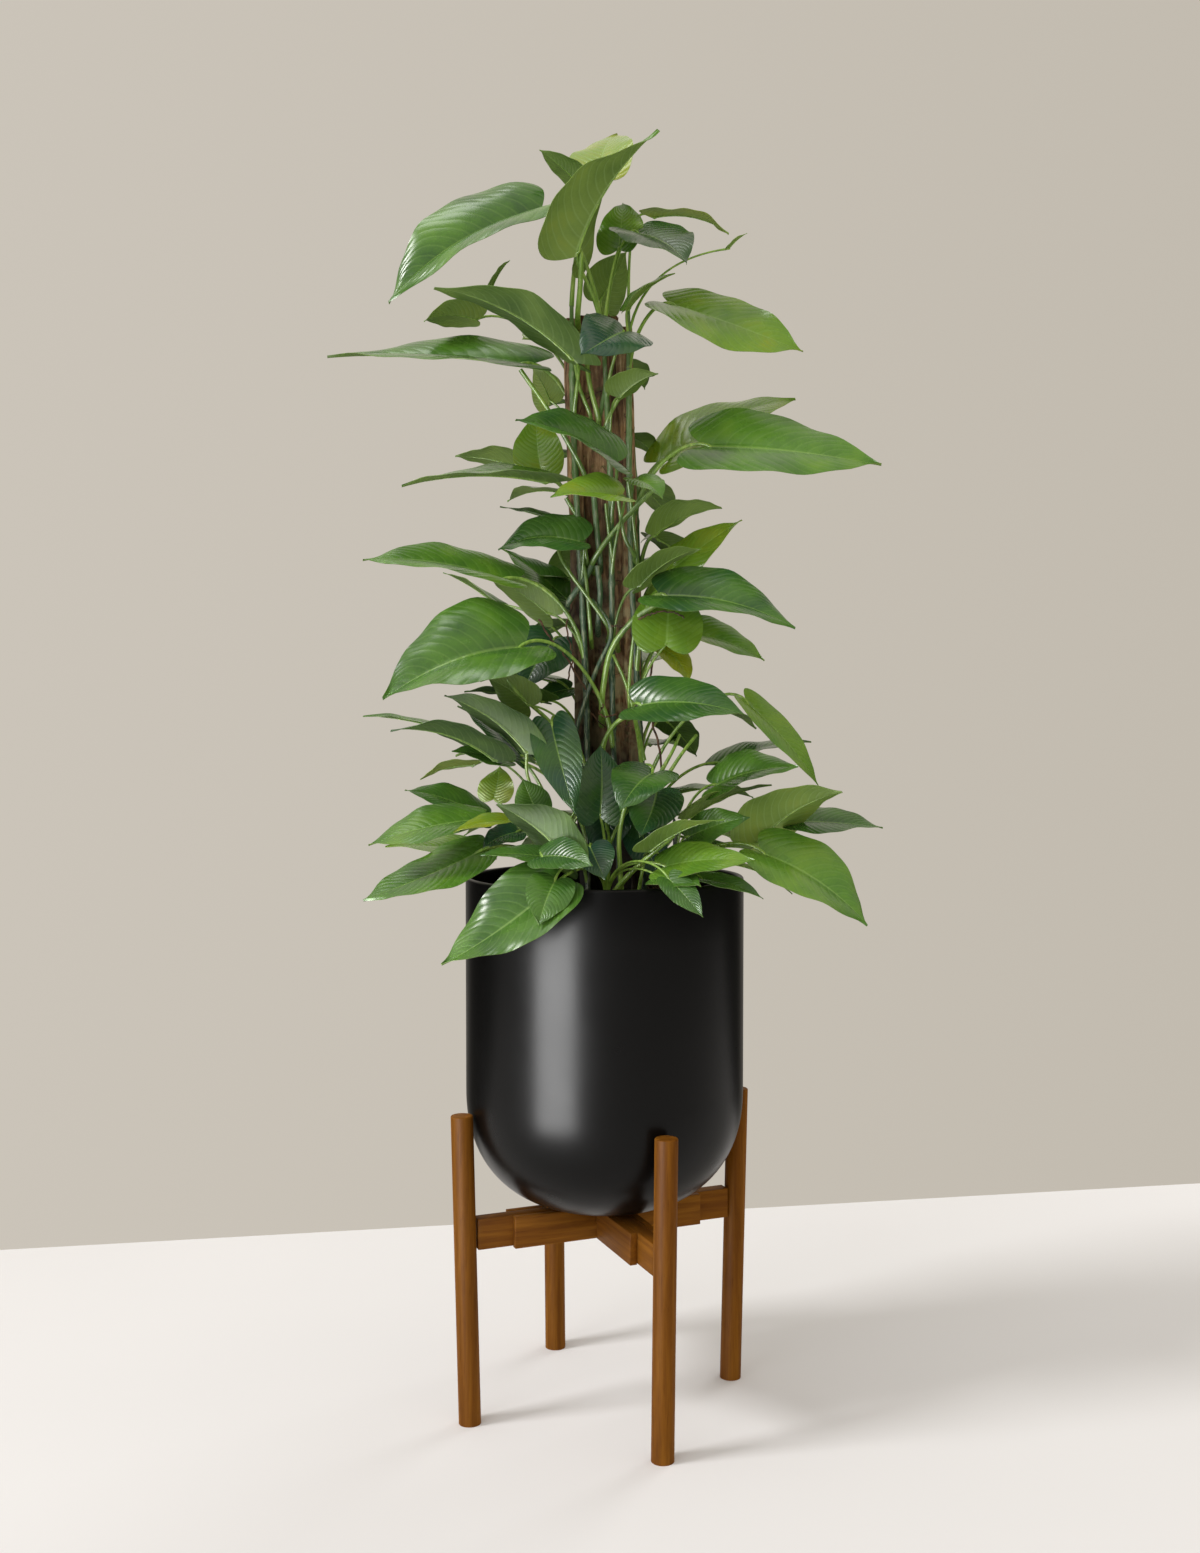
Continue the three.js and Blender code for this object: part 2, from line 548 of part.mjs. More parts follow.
function stem(vine) {
  const { top } = VINES[vine];
  const points = [];
  const low = SOIL_TOP - STEM_SUNK;
  const steps = Math.max(2, Math.round((top - low) / 75));
  for (let k = 0; k <= steps; k++) points.push(stemAt(vine, low + ((top - low) * k) / steps));
  return tube(new THREE.CatmullRomCurve3(points), STEM_RADIUS, 5, steps);
}

for (const vine of Object.keys(VINES)) {
  let body = solid(stem(vine));
  LEAVES.forEach((leaf, index) => {
    if (leaf[0] !== vine) return;
    const { geometry, root } = blade(leaf, index);
    body = body.add(solid(stalk(vine, root))).add(solid(geometry));
  });
  addPiece("vine_" + vine, geometryOf(body), LEAF_GREEN);
}

// The soil fills the pot, with a plain hole for each stem and each slat.
const soilInset = SHELL.wall + GAP;
const soilProfile = [...shellCurve(soilInset, SOIL_TOP), [0, SOIL_TOP]];
let soil = solid(lathe(soilProfile, POT_SIDES));
SLATS.forEach((slat, index) => {
  soil = soil.subtract(solid(slatGeometry(slat, index, GAP)));
});
for (const vine of Object.keys(VINES)) {
  const low = stemAt(vine, SOIL_TOP - STEM_SUNK);
  const high = stemAt(vine, SOIL_TOP + 5);
  low.z -= 1;
  const hole = tube(new THREE.LineCurve3(low, high), STEM_RADIUS + 3 * STEM_HOLE, 6, 1);
  soil = soil.subtract(solid(hole));
}
addPiece("soil", geometryOf(soil), EARTH);

export default plant;
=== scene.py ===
import math
import bpy
import numpy as np
from mathutils import Matrix, Vector, noise


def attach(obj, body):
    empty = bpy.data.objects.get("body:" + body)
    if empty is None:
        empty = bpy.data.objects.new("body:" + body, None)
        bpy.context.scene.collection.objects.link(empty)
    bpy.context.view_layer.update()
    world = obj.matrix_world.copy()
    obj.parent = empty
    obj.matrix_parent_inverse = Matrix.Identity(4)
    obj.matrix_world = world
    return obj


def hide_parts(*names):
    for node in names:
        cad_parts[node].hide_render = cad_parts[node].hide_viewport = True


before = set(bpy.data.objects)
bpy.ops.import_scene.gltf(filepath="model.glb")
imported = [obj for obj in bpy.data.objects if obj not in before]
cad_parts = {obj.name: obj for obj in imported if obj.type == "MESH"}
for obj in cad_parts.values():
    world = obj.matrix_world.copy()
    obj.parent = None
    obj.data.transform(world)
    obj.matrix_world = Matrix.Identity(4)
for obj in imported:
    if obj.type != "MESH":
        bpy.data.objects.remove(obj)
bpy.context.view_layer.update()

# Camera: held upright in front of the plant, at half its height, and tilted down by two degrees.
# The view transform is the plain one, so that colours stay as mixed.
CAMERA_PLACE = (-0.00507, -1.7032, 0.75324)
CAMERA_DOWN = 0.035
SENSOR = 36
LENS = 35.97
bpy.context.scene.view_settings.view_transform = "Standard"
bpy.ops.object.camera_add(location=CAMERA_PLACE, rotation=(math.pi / 2 - CAMERA_DOWN, 0, 0))
camera = bpy.context.object
camera.data.sensor_width = SENSOR
camera.data.lens = LENS
bpy.context.scene.camera = camera

# Floor and studio: a pale matt floor whose far edge runs a little askew behind the stand, a warm
# grey ground behind it, a large soft light high on the left and a weaker one nearer the camera.
FLOOR_SIZE = 7.0
FLOOR_TURN = math.radians(9.9)
FAR_EDGE = Vector((0.0575, 0.648, 0))


def srgb(red, green, blue):
    """Linear colour of an sRGB one that is given from 0 to 255."""
    shares = [value / 255 for value in (red, green, blue)]
    return tuple(s / 12.92 if s <= 0.04045 else ((s + 0.055) / 1.055) ** 2.4 for s in shares) + (1.0,)


def deselect():
    """Leaves nothing selected, so that the next tool acts on the new piece alone."""
    bpy.ops.object.select_all(action="DESELECT")


def finish(name, **values):
    """A new material, its node tree and its Principled shader, with those sockets set."""
    made = bpy.data.materials.new(name)
    made.use_nodes = True
    shader = made.node_tree.nodes["Principled BSDF"]
    for socket, value in values.items():
        shader.inputs[socket.replace("_", " ")].default_value = value
    return made, made.node_tree, shader


def add(tree, kind, settings=None, **inputs):
    """A new node. An input is a number, a colour or another node's output, and is named for its
    socket, or in0, in1 and so on where sockets share a name."""
    node = tree.nodes.new("ShaderNode" + kind)
    for key, value in (settings or {}).items():
        setattr(node, key, value)
    for key, value in inputs.items():
        socket = node.inputs[int(key[2:]) if key.startswith("in") else key.replace("_", " ")]
        if isinstance(value, bpy.types.NodeSocket):
            tree.links.new(value, socket)
        else:
            socket.default_value = value
    return node


def connect(tree, shader, **outputs):
    """Links outputs to the shader's sockets of those names."""
    for socket, output in outputs.items():
        tree.links.new(output, shader.inputs[socket.replace("_", " ")])


def calc(tree, operation, first, second=0.0, third=0.0):
    """The result of a Math node."""
    return add(tree, "Math", {"operation": operation}, in0=first, in1=second, in2=third).outputs[0]


def mapped(tree, value, start, end, low, high, smooth=False):
    """Low where the value is at its start, high at its end, and in proportion or smoothly between."""
    node = add(tree, "MapRange", Value=value, From_Min=start, From_Max=end, To_Min=low, To_Max=high)
    if smooth:
        node.interpolation_type = "SMOOTHSTEP"
    return node.outputs["Result"]


def cloudy(tree, place, scale, detail, **more):
    """Noise from 0 to 1 that changes from place to place."""
    return add(tree, "TexNoise", Vector=place, Scale=scale, Detail=detail, **more).outputs["Fac"]


def ramp(tree, factor, *stops):
    """Colours along a factor, each stop a place and an sRGB colour."""
    node = add(tree, "ValToRGB", Fac=factor)
    elements = node.color_ramp.elements
    while len(elements) < len(stops):
        elements.new(0.5)
    for element, (place, colour) in zip(elements, stops):
        element.position = place
        element.color = srgb(*colour)
    return node.outputs["Color"]


deselect()
towards_viewer = Vector((math.sin(FLOOR_TURN), -math.cos(FLOOR_TURN), 0))
floor_middle = FAR_EDGE + towards_viewer * FLOOR_SIZE / 2
bpy.ops.mesh.primitive_plane_add(size=FLOOR_SIZE, location=floor_middle, rotation=(0, 0, FLOOR_TURN))
floor = bpy.context.object
floor.name = "floor"
paper, tree, shader = finish("pale_floor", Roughness=1.0, Specular_IOR_Level=0.0)
place = add(tree, "TexCoord").outputs["Object"]
tint = ramp(tree, cloudy(tree, place, 1.2, 3.0), (0.0, (229, 229, 232)), (1.0, (236, 236, 239)))
connect(tree, shader, Base_Color=tint)
floor.data.materials.append(paper)

# The ground is a little brighter on the viewer's side. What shines mirrors black cloth all round,
# but for the light overhead and the grey ground straight behind the plant.
world = bpy.data.worlds.new("studio")
bpy.context.scene.world = world
world.use_nodes = True
tree = world.node_tree
ground = tree.nodes["Background"]
heading = add(tree, "SeparateXYZ", Vector=add(tree, "TexCoord").outputs["Generated"]).outputs
sideways = mapped(tree, heading["X"], -0.45, 0.45, 0.0, 1.0)
ground_tint = ramp(tree, sideways, (0.0, (204, 197, 186)), (1.0, (193, 186, 174)))
seen = mapped(tree, heading["Y"], -0.2, 0.6, 1.12, 1.0, smooth=True)
hung_black = mapped(tree, heading["Y"], 0.78, 1.0, 0.07, 0.75, smooth=True)
overhead = mapped(tree, heading["Z"], 0.12, 0.6, 0.0, 1.5, smooth=True)
mirrored = calc(tree, "ADD", hung_black, overhead)
in_gloss = add(tree, "LightPath").outputs["Is Glossy Ray"]
strength = add(tree, "Mix", {"data_type": "FLOAT"}, in0=in_gloss, in2=seen, in3=mirrored).outputs[0]
connect(tree, ground, Color=ground_tint, Strength=strength)


def soft_light(name, place, aim, width, height, watts, tint, unseen=()):
    """A soft box that faces its aim. The kinds of rays that are named unseen pass it by."""
    facing = (Vector(aim) - Vector(place)).to_track_quat("-Z", "Y").to_euler()
    bpy.ops.object.light_add(type="AREA", location=place, rotation=facing)
    light = bpy.context.object
    light.name = name
    light.data.shape = "RECTANGLE"
    light.data.size = width
    light.data.size_y = height
    light.data.energy = watts
    light.data.color = tint
    for rays in unseen:
        setattr(light, "visible_" + rays, False)


soft_light("key", (-8.15, -3.20, 9.77), (0.3, 0, 0.3), 2.7, 2.7, 799, (1.0, 0.985, 0.96))
soft_light("soft_box", (-1.3, -1.8, 1.7), (0.1, 0, 0.75), 1.3, 1.3, 10, (1.0, 0.99, 0.98))
# A weak fill from behind keeps the back's leaves green. It leaves no gleam of its own.
FILL_HIDES = ["glossy", "camera"]
soft_light("back_fill", (2.4, 3.0, 2.0), (0, 0, 0.9), 1.8, 1.8, 40, (1.0, 1.0, 0.98), FILL_HIDES)
# A bright card low on the left shows only as the broad gleam down the pot's side, and another high
# above only as the sheens on leaves that lie back towards it.
soft_light("gleam_card", (-0.56, -0.74, 0.51), (0, 0, 0.49), 0.50, 0.98, 35, (1.0, 1.0, 1.0), ["diffuse"])
soft_light("sheen_card", (-0.6, 0.1, 3.2), (0, 0, 1.0), 0.9, 0.9, 12, (1.0, 1.0, 0.98), ["diffuse"])

# Stand legs: four turned walnut dowels, 24 mm thick and 334 mm high, with flat tops whose edge is
# eased by hand. They lean out a little, and their feet are sawn flat for the floor.
STAND_TURN = math.radians(22.1)
LEG_NAMES = ["right", "back", "left", "front"]
LEG_HEIGHT = 0.334
LEG_RADIUS = 0.012
LEG_SIDES = 56
LEG_EASED = 0.0015
FOOT_CIRCLE = 0.1565
SPLAY = 0.008
# Each piece is sawn from its own place in the wood, so far apart along each axis.
GRAIN_APART = np.array([1.0, 0.37, 1.7])


def blend(tree, share, first, second, way="MIX"):
    """A colour between two, or with MULTIPLY the first one darkened by a share of the second."""
    settings = {"data_type": "RGBA", "blend_type": way}
    return add(tree, "Mix", settings, in0=share, in6=first, in7=second).outputs[2]


def embossed(tree, height, strength, distance):
    """Surface directions that show a height as fine relief."""
    return add(tree, "Bump", Height=height, Strength=strength, Distance=distance).outputs[0]


walnut, tree, shader = finish("walnut", Roughness=0.5, Specular_IOR_Level=0.06)
along = add(tree, "Attribute", {"attribute_name": "grain"}).outputs["Vector"]
sway = add(tree, "TexNoise", Vector=along, Scale=6.0, Detail=2.0).outputs["Color"]
bent = add(tree, "VectorMath", {"operation": "SCALE"}, in0=sway, Scale=0.006).outputs[0]
bent = add(tree, "VectorMath", {"operation": "ADD"}, in0=along, in1=bent).outputs[0]
drawn_out = add(tree, "Mapping", Vector=bent, Scale=(1.0, 1.0, 0.045)).outputs[0]
figure = cloudy(tree, drawn_out, 150.0, 5.0, Roughness=0.6)
pores = cloudy(tree, drawn_out, 900.0, 2.0)
broad = cloudy(tree, drawn_out, 38.0, 2.0)
wood = ramp(tree, figure, (0.3, (104, 62, 15)), (0.52, (126, 79, 20)), (0.75, (146, 97, 29)))
shade = ramp(tree, broad, (0.32, (226, 214, 200)), (0.62, (255, 255, 255)))
dark_pores = ramp(tree, pores, (0.30, (150, 124, 100)), (0.42, (255, 255, 255)))
figured = blend(tree, 0.75, wood, shade, "MULTIPLY")
porous = blend(tree, 0.3, figured, dark_pores, "MULTIPLY")
connect(tree, shader, Base_Color=porous, Normal=embossed(tree, pores, 0.25, 0.0003))


def keep_grain(piece, long_axis, shift):
    """Stores each point's place in the uncut wood, with the grain along z, as an attribute."""
    points = np.array([vertex.co[:] for vertex in piece.data.vertices])
    order = {"x": [1, 2, 0], "z": [0, 1, 2]}[long_axis]
    stored = points[:, order] + shift * GRAIN_APART
    attribute = piece.data.attributes.new("grain", "FLOAT_VECTOR", "POINT")
    attribute.data.foreach_set("vector", stored.astype(np.float32).ravel())


def wooden(piece, name, node, turn):
    """Turns a finished wooden piece to its place in the stand and puts it for its CAD node."""
    piece.name = name
    piece.data.name = name
    piece.data.transform(Matrix.Rotation(turn, 4, "Z"))
    piece.data.materials.clear()
    piece.data.materials.append(walnut)
    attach(piece, "root")
    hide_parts(node)


for quarter, side in enumerate(LEG_NAMES):
    deselect()
    bpy.ops.mesh.primitive_cylinder_add(
        vertices=LEG_SIDES, radius=LEG_RADIUS, depth=LEG_HEIGHT, location=(FOOT_CIRCLE, 0, LEG_HEIGHT / 2)
    )
    leg = bpy.context.object
    bpy.ops.object.transform_apply(location=True, rotation=True, scale=True)
    bpy.ops.object.mode_set(mode="EDIT")
    bpy.ops.mesh.select_all(action="DESELECT")
    bpy.ops.object.mode_set(mode="OBJECT")
    for vertex in leg.data.vertices:
        vertex.select = vertex.co.z > LEG_HEIGHT / 2
    for edge in leg.data.edges:
        edge.select = all(leg.data.vertices[k].select for k in edge.vertices)
    bpy.ops.object.mode_set(mode="EDIT")
    bpy.ops.transform.translate(value=(SPLAY, 0, 0))
    bpy.ops.mesh.bevel(offset=LEG_EASED, segments=3, affect="EDGES")
    bpy.ops.object.mode_set(mode="OBJECT")
    bpy.ops.object.shade_smooth_by_angle(angle=math.radians(40))
    keep_grain(leg, "z", 0.31 * quarter + 0.05)
    wooden(leg, "leg_wood_" + side, "leg_" + side, STAND_TURN + quarter * math.pi / 2)

# Beams of the stand: four rails that carry the legs, each held between the two boards of its
# beam. The boards are half-lapped where the beams cross, and every sawn edge is broken a little.
EASED_EDGE = 0.0006
BEAM_NODES = [("rail_" + side, quarter * math.pi / 2) for quarter, side in enumerate(LEG_NAMES)]
BEAM_NODES += [("board_long_front", 0), ("board_long_back", 0)]
BEAM_NODES += [("board_cross_right", math.pi / 2), ("board_cross_left", math.pi / 2)]


def only(piece):
    """Makes that piece the selected and active one."""
    deselect()
    piece.select_set(True)
    bpy.context.view_layer.objects.active = piece


def in_scene(name, data):
    """A new object of that mesh or curve, placed in the scene."""
    piece = bpy.data.objects.new(name, data)
    bpy.context.scene.collection.objects.link(piece)
    return piece


def eased_copy(node, turn):
    """The CAD node's shape as a joined mesh, turned back square, with its edges broken."""
    copy = in_scene(node + "_wood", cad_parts[node].data.copy())
    copy.data.transform(Matrix.Rotation(-turn, 4, "Z"))
    only(copy)
    bpy.ops.object.mode_set(mode="EDIT")
    bpy.ops.mesh.select_all(action="SELECT")
    bpy.ops.mesh.remove_doubles(threshold=0.00002)
    bpy.ops.mesh.dissolve_limited(angle_limit=math.radians(1))
    bpy.ops.object.mode_set(mode="OBJECT")
    easing = copy.modifiers.new("easing", "BEVEL")
    easing.width = EASED_EDGE
    easing.segments = 2
    easing.limit_method = "ANGLE"
    bpy.ops.object.modifier_apply(modifier="easing")
    bpy.ops.object.shade_smooth_by_angle(angle=math.radians(35))
    return copy


for number, (node, quarter_turn) in enumerate(BEAM_NODES):
    turn = STAND_TURN + quarter_turn
    piece = eased_copy(node, turn)
    keep_grain(piece, "x", 1.3 + 0.23 * number)
    wooden(piece, node + "_wood", node, turn)

# Pot: a spun steel shell, straight above and drawn round below, with a rolled rim. It is sprayed
# satin black inside and out, and the spray leaves a faint unevenness in its shine.
SHELL_RADIUS = 0.1525
SHELL_RIM = 0.585
SHELL_BOTTOM = 0.2223
SHELL_WALL = 0.006
SHELL_SIDES = 144
CURVE_HEIGHT = 0.131
CURVE_POWER = 2.3
FLAT_RADIUS = 0.022
LIP = SHELL_WALL / 2


def shell_radius(height, inset):
    """The shell's radius at a height, for its outer face or one set in from it."""
    down = max(0.0, 1 - (height - SHELL_BOTTOM - inset) / (CURVE_HEIGHT - inset))
    rounded = max(0.0, 1 - down**CURVE_POWER) ** (1 / CURVE_POWER)
    return FLAT_RADIUS + (SHELL_RADIUS - inset - FLAT_RADIUS) * rounded


def shell_line(inset, top, steps):
    """Points of the shell's face from the axis at its bottom up to a height."""
    low = SHELL_BOTTOM + inset
    curved = CURVE_HEIGHT - inset
    heights = [low + (1 - math.cos(math.pi / 2 * k / steps)) * curved for k in range(steps + 1)]
    heights += [low + curved + 0.25 * k * (top - low - curved) for k in (1, 2, 3, 4)]
    return [(0.0, low)] + [(shell_radius(height, inset), height) for height in heights]


def turn_profile(points, steps):
    """Draws a profile by extruding one point along it, and spins it round the pot's axis."""
    deselect()
    bpy.ops.mesh.primitive_plane_add(size=0.01, location=(points[0][0], 0, points[0][1]))
    turned = bpy.context.object
    bpy.ops.object.transform_apply(location=True, rotation=True, scale=True)
    bpy.ops.object.mode_set(mode="EDIT")
    bpy.ops.mesh.merge(type="CENTER")
    for (r0, z0), (r1, z1) in zip(points, points[1:]):
        bpy.ops.mesh.extrude_region_move(TRANSFORM_OT_translate={"value": (r1 - r0, 0, z1 - z0)})
    bpy.ops.mesh.select_all(action="SELECT")
    bpy.ops.mesh.spin(steps=steps, angle=2 * math.pi, center=(0, 0, 0), axis=(0, 0, 1))
    bpy.ops.mesh.select_all(action="SELECT")
    bpy.ops.mesh.remove_doubles(threshold=0.00001)
    bpy.ops.mesh.normals_make_consistent(inside=False)
    bpy.ops.object.mode_set(mode="OBJECT")
    return turned


rolled_rim = [
    (SHELL_RADIUS - LIP + LIP * math.cos(angle), SHELL_RIM - LIP + LIP * math.sin(angle))
    for angle in [math.pi * k / 10 for k in range(1, 10)]
]
outside = shell_line(0.0, SHELL_RIM - LIP, 26)
inside = shell_line(SHELL_WALL, SHELL_RIM - LIP, 14)
pot = turn_profile(outside + rolled_rim + inside[::-1], SHELL_SIDES)
pot.name = "pot_shell"
only(pot)
bpy.ops.object.shade_smooth_by_angle(angle=math.radians(50))
satin, tree, shader = finish("satin_black", Base_Color=srgb(7, 7, 7), Specular_IOR_Level=0.16)
place = add(tree, "TexCoord").outputs["Object"]
uneven = mapped(tree, cloudy(tree, place, 14.0, 4.0), 0.3, 0.7, 0.27, 0.32)
peel = cloudy(tree, place, 420.0, 1.0)
connect(tree, shader, Roughness=uneven, Normal=embossed(tree, peel, 0.06, 0.0004))
pot.data.materials.append(satin)
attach(pot, "root")
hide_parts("pot")

# Soil: dark potting mix that fills the pot to a finger's width under the rim, uneven on top, with
# chips of bark and lumps of coir lying loose on it.
SOIL_TOP = 0.561
SOIL_INSET = SHELL_WALL + 0.0003
SOIL_SIDES = 120
SOIL_RINGS = 44
SOIL_EDGE = 0.146
EDGE_WIDTH = 0.006
SOIL_HUMPS = 0.0035
SOIL_LUMPS = 0.004
SOIL_CRUMBS = 0.0015
SOIL_SETTLED = 0.0025
soil_radius = shell_radius(SOIL_TOP, SOIL_INSET)
soil_rings = [(soil_radius * (1 - k / SOIL_RINGS), SOIL_TOP) for k in range(1, SOIL_RINGS)]
soil_profile = shell_line(SOIL_INSET, SOIL_TOP, 8) + soil_rings + [(0.0, SOIL_TOP)]
soil = turn_profile(soil_profile, SOIL_SIDES)
soil.name = "soil_mix"
for vertex in soil.data.vertices:
    if vertex.co.z > SOIL_TOP - 0.0005:
        reach = math.hypot(vertex.co.x, vertex.co.y)
        edge = min(1.0, (SOIL_EDGE - reach) / EDGE_WIDTH)
        humps = noise.noise(vertex.co * 38) * SOIL_HUMPS
        lumps = abs(noise.noise(vertex.co * 170)) * SOIL_LUMPS
        crumbs = abs(noise.noise(vertex.co * 420)) * SOIL_CRUMBS
        vertex.co.z += max(0.0, edge) * (humps + lumps + crumbs - SOIL_SETTLED)
earth, tree, shader = finish("potting_mix", Roughness=0.95, Specular_IOR_Level=0.2)
place = add(tree, "TexCoord").outputs["Object"]
grains = add(tree, "TexVoronoi", Vector=place, Scale=260.0).outputs["Color"]
shades = add(tree, "SeparateXYZ", Vector=grains).outputs[0]
loam = (0.1, (30, 20, 14)), (0.5, (58, 41, 28)), (0.82, (84, 60, 40)), (0.93, (128, 98, 66))
rough = cloudy(tree, place, 600.0, 3.0)
connect(tree, shader, Base_Color=ramp(tree, shades, *loam), Normal=embossed(tree, rough, 0.7, 0.001))
soil.data.materials.append(earth)
only(soil)
bpy.ops.object.shade_smooth_by_angle(angle=math.radians(60))
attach(soil, "root")
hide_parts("soil")

# The chips are one rough ball each, flattened, tipped and turned by chance.
CHIPS = 340
CHIPS_TO = 0.143
CHIP_SIZE = (0.0012, 0.0046)
CHIP_BREADTH = (0.45, 0.9)
CHIP_THICK = (0.3, 0.7)
CHIP_TIP = 0.6
CHIP_ROUGH = 0.22
draws = np.random.default_rng(4711)
deselect()
bpy.ops.mesh.primitive_ico_sphere_add(subdivisions=1, radius=1.0, location=(0, 0, 0))
chip = bpy.context.object
chip_points = np.array([vertex.co[:] for vertex in chip.data.vertices])
chip_faces = [list(face.vertices) for face in chip.data.polygons]
bpy.data.objects.remove(chip)
points = []
faces = []
for _ in range(CHIPS):
    size = draws.uniform(*CHIP_SIZE)
    stretch = np.array([1.0, draws.uniform(*CHIP_BREADTH), draws.uniform(*CHIP_THICK)]) * size
    spun = Matrix.Rotation(draws.uniform(0, 6.28), 3, "Z")
    turn = np.array(spun @ Matrix.Rotation(draws.uniform(-CHIP_TIP, CHIP_TIP), 3, "X"))
    reach = CHIPS_TO * math.sqrt(draws.uniform(0, 1))
    angle = draws.uniform(0, 2 * math.pi)
    centre = np.array([reach * math.cos(angle), reach * math.sin(angle), SOIL_TOP + 0.25 * size])
    dents = draws.uniform(-CHIP_ROUGH, CHIP_ROUGH, (len(chip_points), 1))
    shape = chip_points * (1 + dents) * stretch
    first = len(points)
    points.extend(shape @ turn.T + centre)
    faces.extend([[first + k for k in face] for face in chip_faces])
chips_mesh = bpy.data.meshes.new("soil_chips")
chips_mesh.from_pydata([tuple(point) for point in points], [], faces)
chips = in_scene("soil_chips", chips_mesh)
chips_mesh.materials.append(earth)
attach(chips, "root")

# Pole: three strips of rough bark that stand side by side in the soil, with dark furrows, pale
# worn streaks and a few flecks of moss. They lean a little to the left, and their ends are broken.
# Low down they are crusted with pale lichen and darkened almost to black by painted shade, most of all on
# the left.
POLE_FOOT_X = 0.015
POLE_LEAN = 0.03
POLE_FOOT = 0.42
POLE_TOP = 1.199
SLAT_THICK = 0.0105
SLAT_SIDES = 36
SLAT_STEPS = 200
SLAT_SQUARE = 0.62
SLAT_WAVES = 0.16
BARK_RIDGES = 0.20
BARK_FURROWS = 0.10
BROKEN_END = 0.006
# Each slat's place from the pole's middle, its width, and how far its top passes the pole's.
SLATS = [
    ("left", -0.033, -0.001, 0.0173, -0.006),
    ("middle", -0.004, 0.0115, 0.0444, 0.0),
    ("right", 0.024, 0.001, 0.0178, -0.014),
]


def pole_x(height):
    """Where the pole's middle lies at a height, as it leans."""
    return POLE_FOOT_X - POLE_LEAN * (height - SOIL_TOP)


bark, tree, shader = finish("rough_bark", Roughness=0.93, Specular_IOR_Level=0.2)
place = add(tree, "TexCoord").outputs["Object"]
drawn_out = add(tree, "Mapping", Vector=place, Scale=(1.0, 1.0, 0.12)).outputs[0]
fibres = cloudy(tree, drawn_out, 260.0, 5.0, Roughness=0.65)
patches = cloudy(tree, place, 34.0, 4.0)
fibre = (0.30, (60, 45, 34)), (0.45, (124, 97, 72)), (0.58, (168, 138, 104)), (0.72, (218, 194, 156))
aged = ramp(tree, patches, (0.35, (176, 160, 146)), (0.52, (255, 252, 244)), (0.66, (255, 240, 220)))
weathered = blend(tree, 0.9, ramp(tree, fibres, *fibre), aged, "MULTIPLY")
mossy = mapped(tree, cloudy(tree, place, 95.0, 4.0), 0.60, 0.68, 0.0, 0.75)
green = blend(tree, mossy, weathered, srgb(86, 92, 48))
across, _, upwards = add(tree, "SeparateXYZ", Vector=place).outputs
# Painted shade: low down the bark's colour is scaled almost to black, more on the left than on the right,
# fading out by the height where the lichen stops.
painted_shade_height = mapped(tree, upwards, 0.66, 0.80, 0.10, 1.0, smooth=True)
above_lichen_and_shade = mapped(tree, upwards, 0.84, 1.02, 0.0, 1.0, smooth=True)
painted_shade_across = mapped(tree, calc(tree, "MULTIPLY_ADD", patches, 0.03, across), 0.008, 0.026, 0.30, 1.0)
crust = mapped(tree, cloudy(tree, place, 58.0, 5.0, Distortion=0.6), 0.46, 0.60, 0.0, 0.8)
lichen = calc(tree, "MULTIPLY", crust, calc(tree, "SUBTRACT", 1.0, above_lichen_and_shade))
crusted = blend(tree, lichen, green, srgb(180, 166, 126))
# The painted shade scales the bark's colour.
painted_shade = calc(tree, "MULTIPLY", painted_shade_height, calc(tree, "MAXIMUM", painted_shade_across, above_lichen_and_shade))
darkened = add(tree, "VectorMath", {"operation": "SCALE"}, in0=crusted, Scale=painted_shade).outputs[0]
connect(tree, shader, Base_Color=darkened, Normal=embossed(tree, fibres, 0.8, 0.0016))

for number, (side, slat_x, slat_y, width, shorter) in enumerate(SLATS):
    deselect()
    height = POLE_TOP + shorter - POLE_FOOT
    bpy.ops.mesh.primitive_grid_add(x_subdivisions=SLAT_SIDES, y_subdivisions=SLAT_STEPS, size=1)
    slat = bpy.context.object
    for vertex in slat.data.vertices:
        angle = 2 * math.pi * (vertex.co.x + 0.5)
        vertex.co = (0.5 * math.cos(angle), 0.5 * math.sin(angle), height * (vertex.co.y + 0.5))
    bpy.ops.object.mode_set(mode="EDIT")
    bpy.ops.mesh.select_all(action="SELECT")
    bpy.ops.mesh.remove_doubles(threshold=0.0001)
    bpy.ops.mesh.fill_holes(sides=0)
    bpy.ops.mesh.select_all(action="SELECT")
    bpy.ops.mesh.normals_make_consistent(inside=False)
    bpy.ops.object.mode_set(mode="OBJECT")
    for vertex in slat.data.vertices:
        x, y, z = vertex.co
        angle = math.atan2(y, x)
        wide = math.copysign(abs(math.cos(angle)) ** SLAT_SQUARE, math.cos(angle)) * width / 2
        thick = math.copysign(abs(math.sin(angle)) ** SLAT_SQUARE, math.sin(angle)) * SLAT_THICK / 2
        rough = Vector((wide * 60, thick * 60, z * 7 + 10 * number))
        wavy = 1 + SLAT_WAVES * noise.noise(Vector((number * 9.0, 0, z * 14)))
        ridges = BARK_RIDGES * noise.noise(rough * 1.7)
        furrows = BARK_FURROWS * noise.noise(rough * 4.1 + Vector((5, 5, 5)))
        relief = 1 + ridges + furrows
        broken = 0.0
        if z > height - 1e-4:
            splinter = noise.noise(Vector((wide * 210, thick * 210, number)))
            broken = BROKEN_END * (splinter - 0.5)
        vertex.co = (
            pole_x(POLE_FOOT + z) + slat_x + wide * wavy * relief,
            slat_y + thick * (0.5 + 0.5 * wavy) * relief,
            POLE_FOOT + z + broken,
        )
    only(slat)
    bpy.ops.object.shade_smooth_by_angle(angle=math.radians(60))
    slat.name = "bark_slat_" + side
    slat.data.materials.append(bark)
    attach(slat, "root")
    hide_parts("slat_" + side)

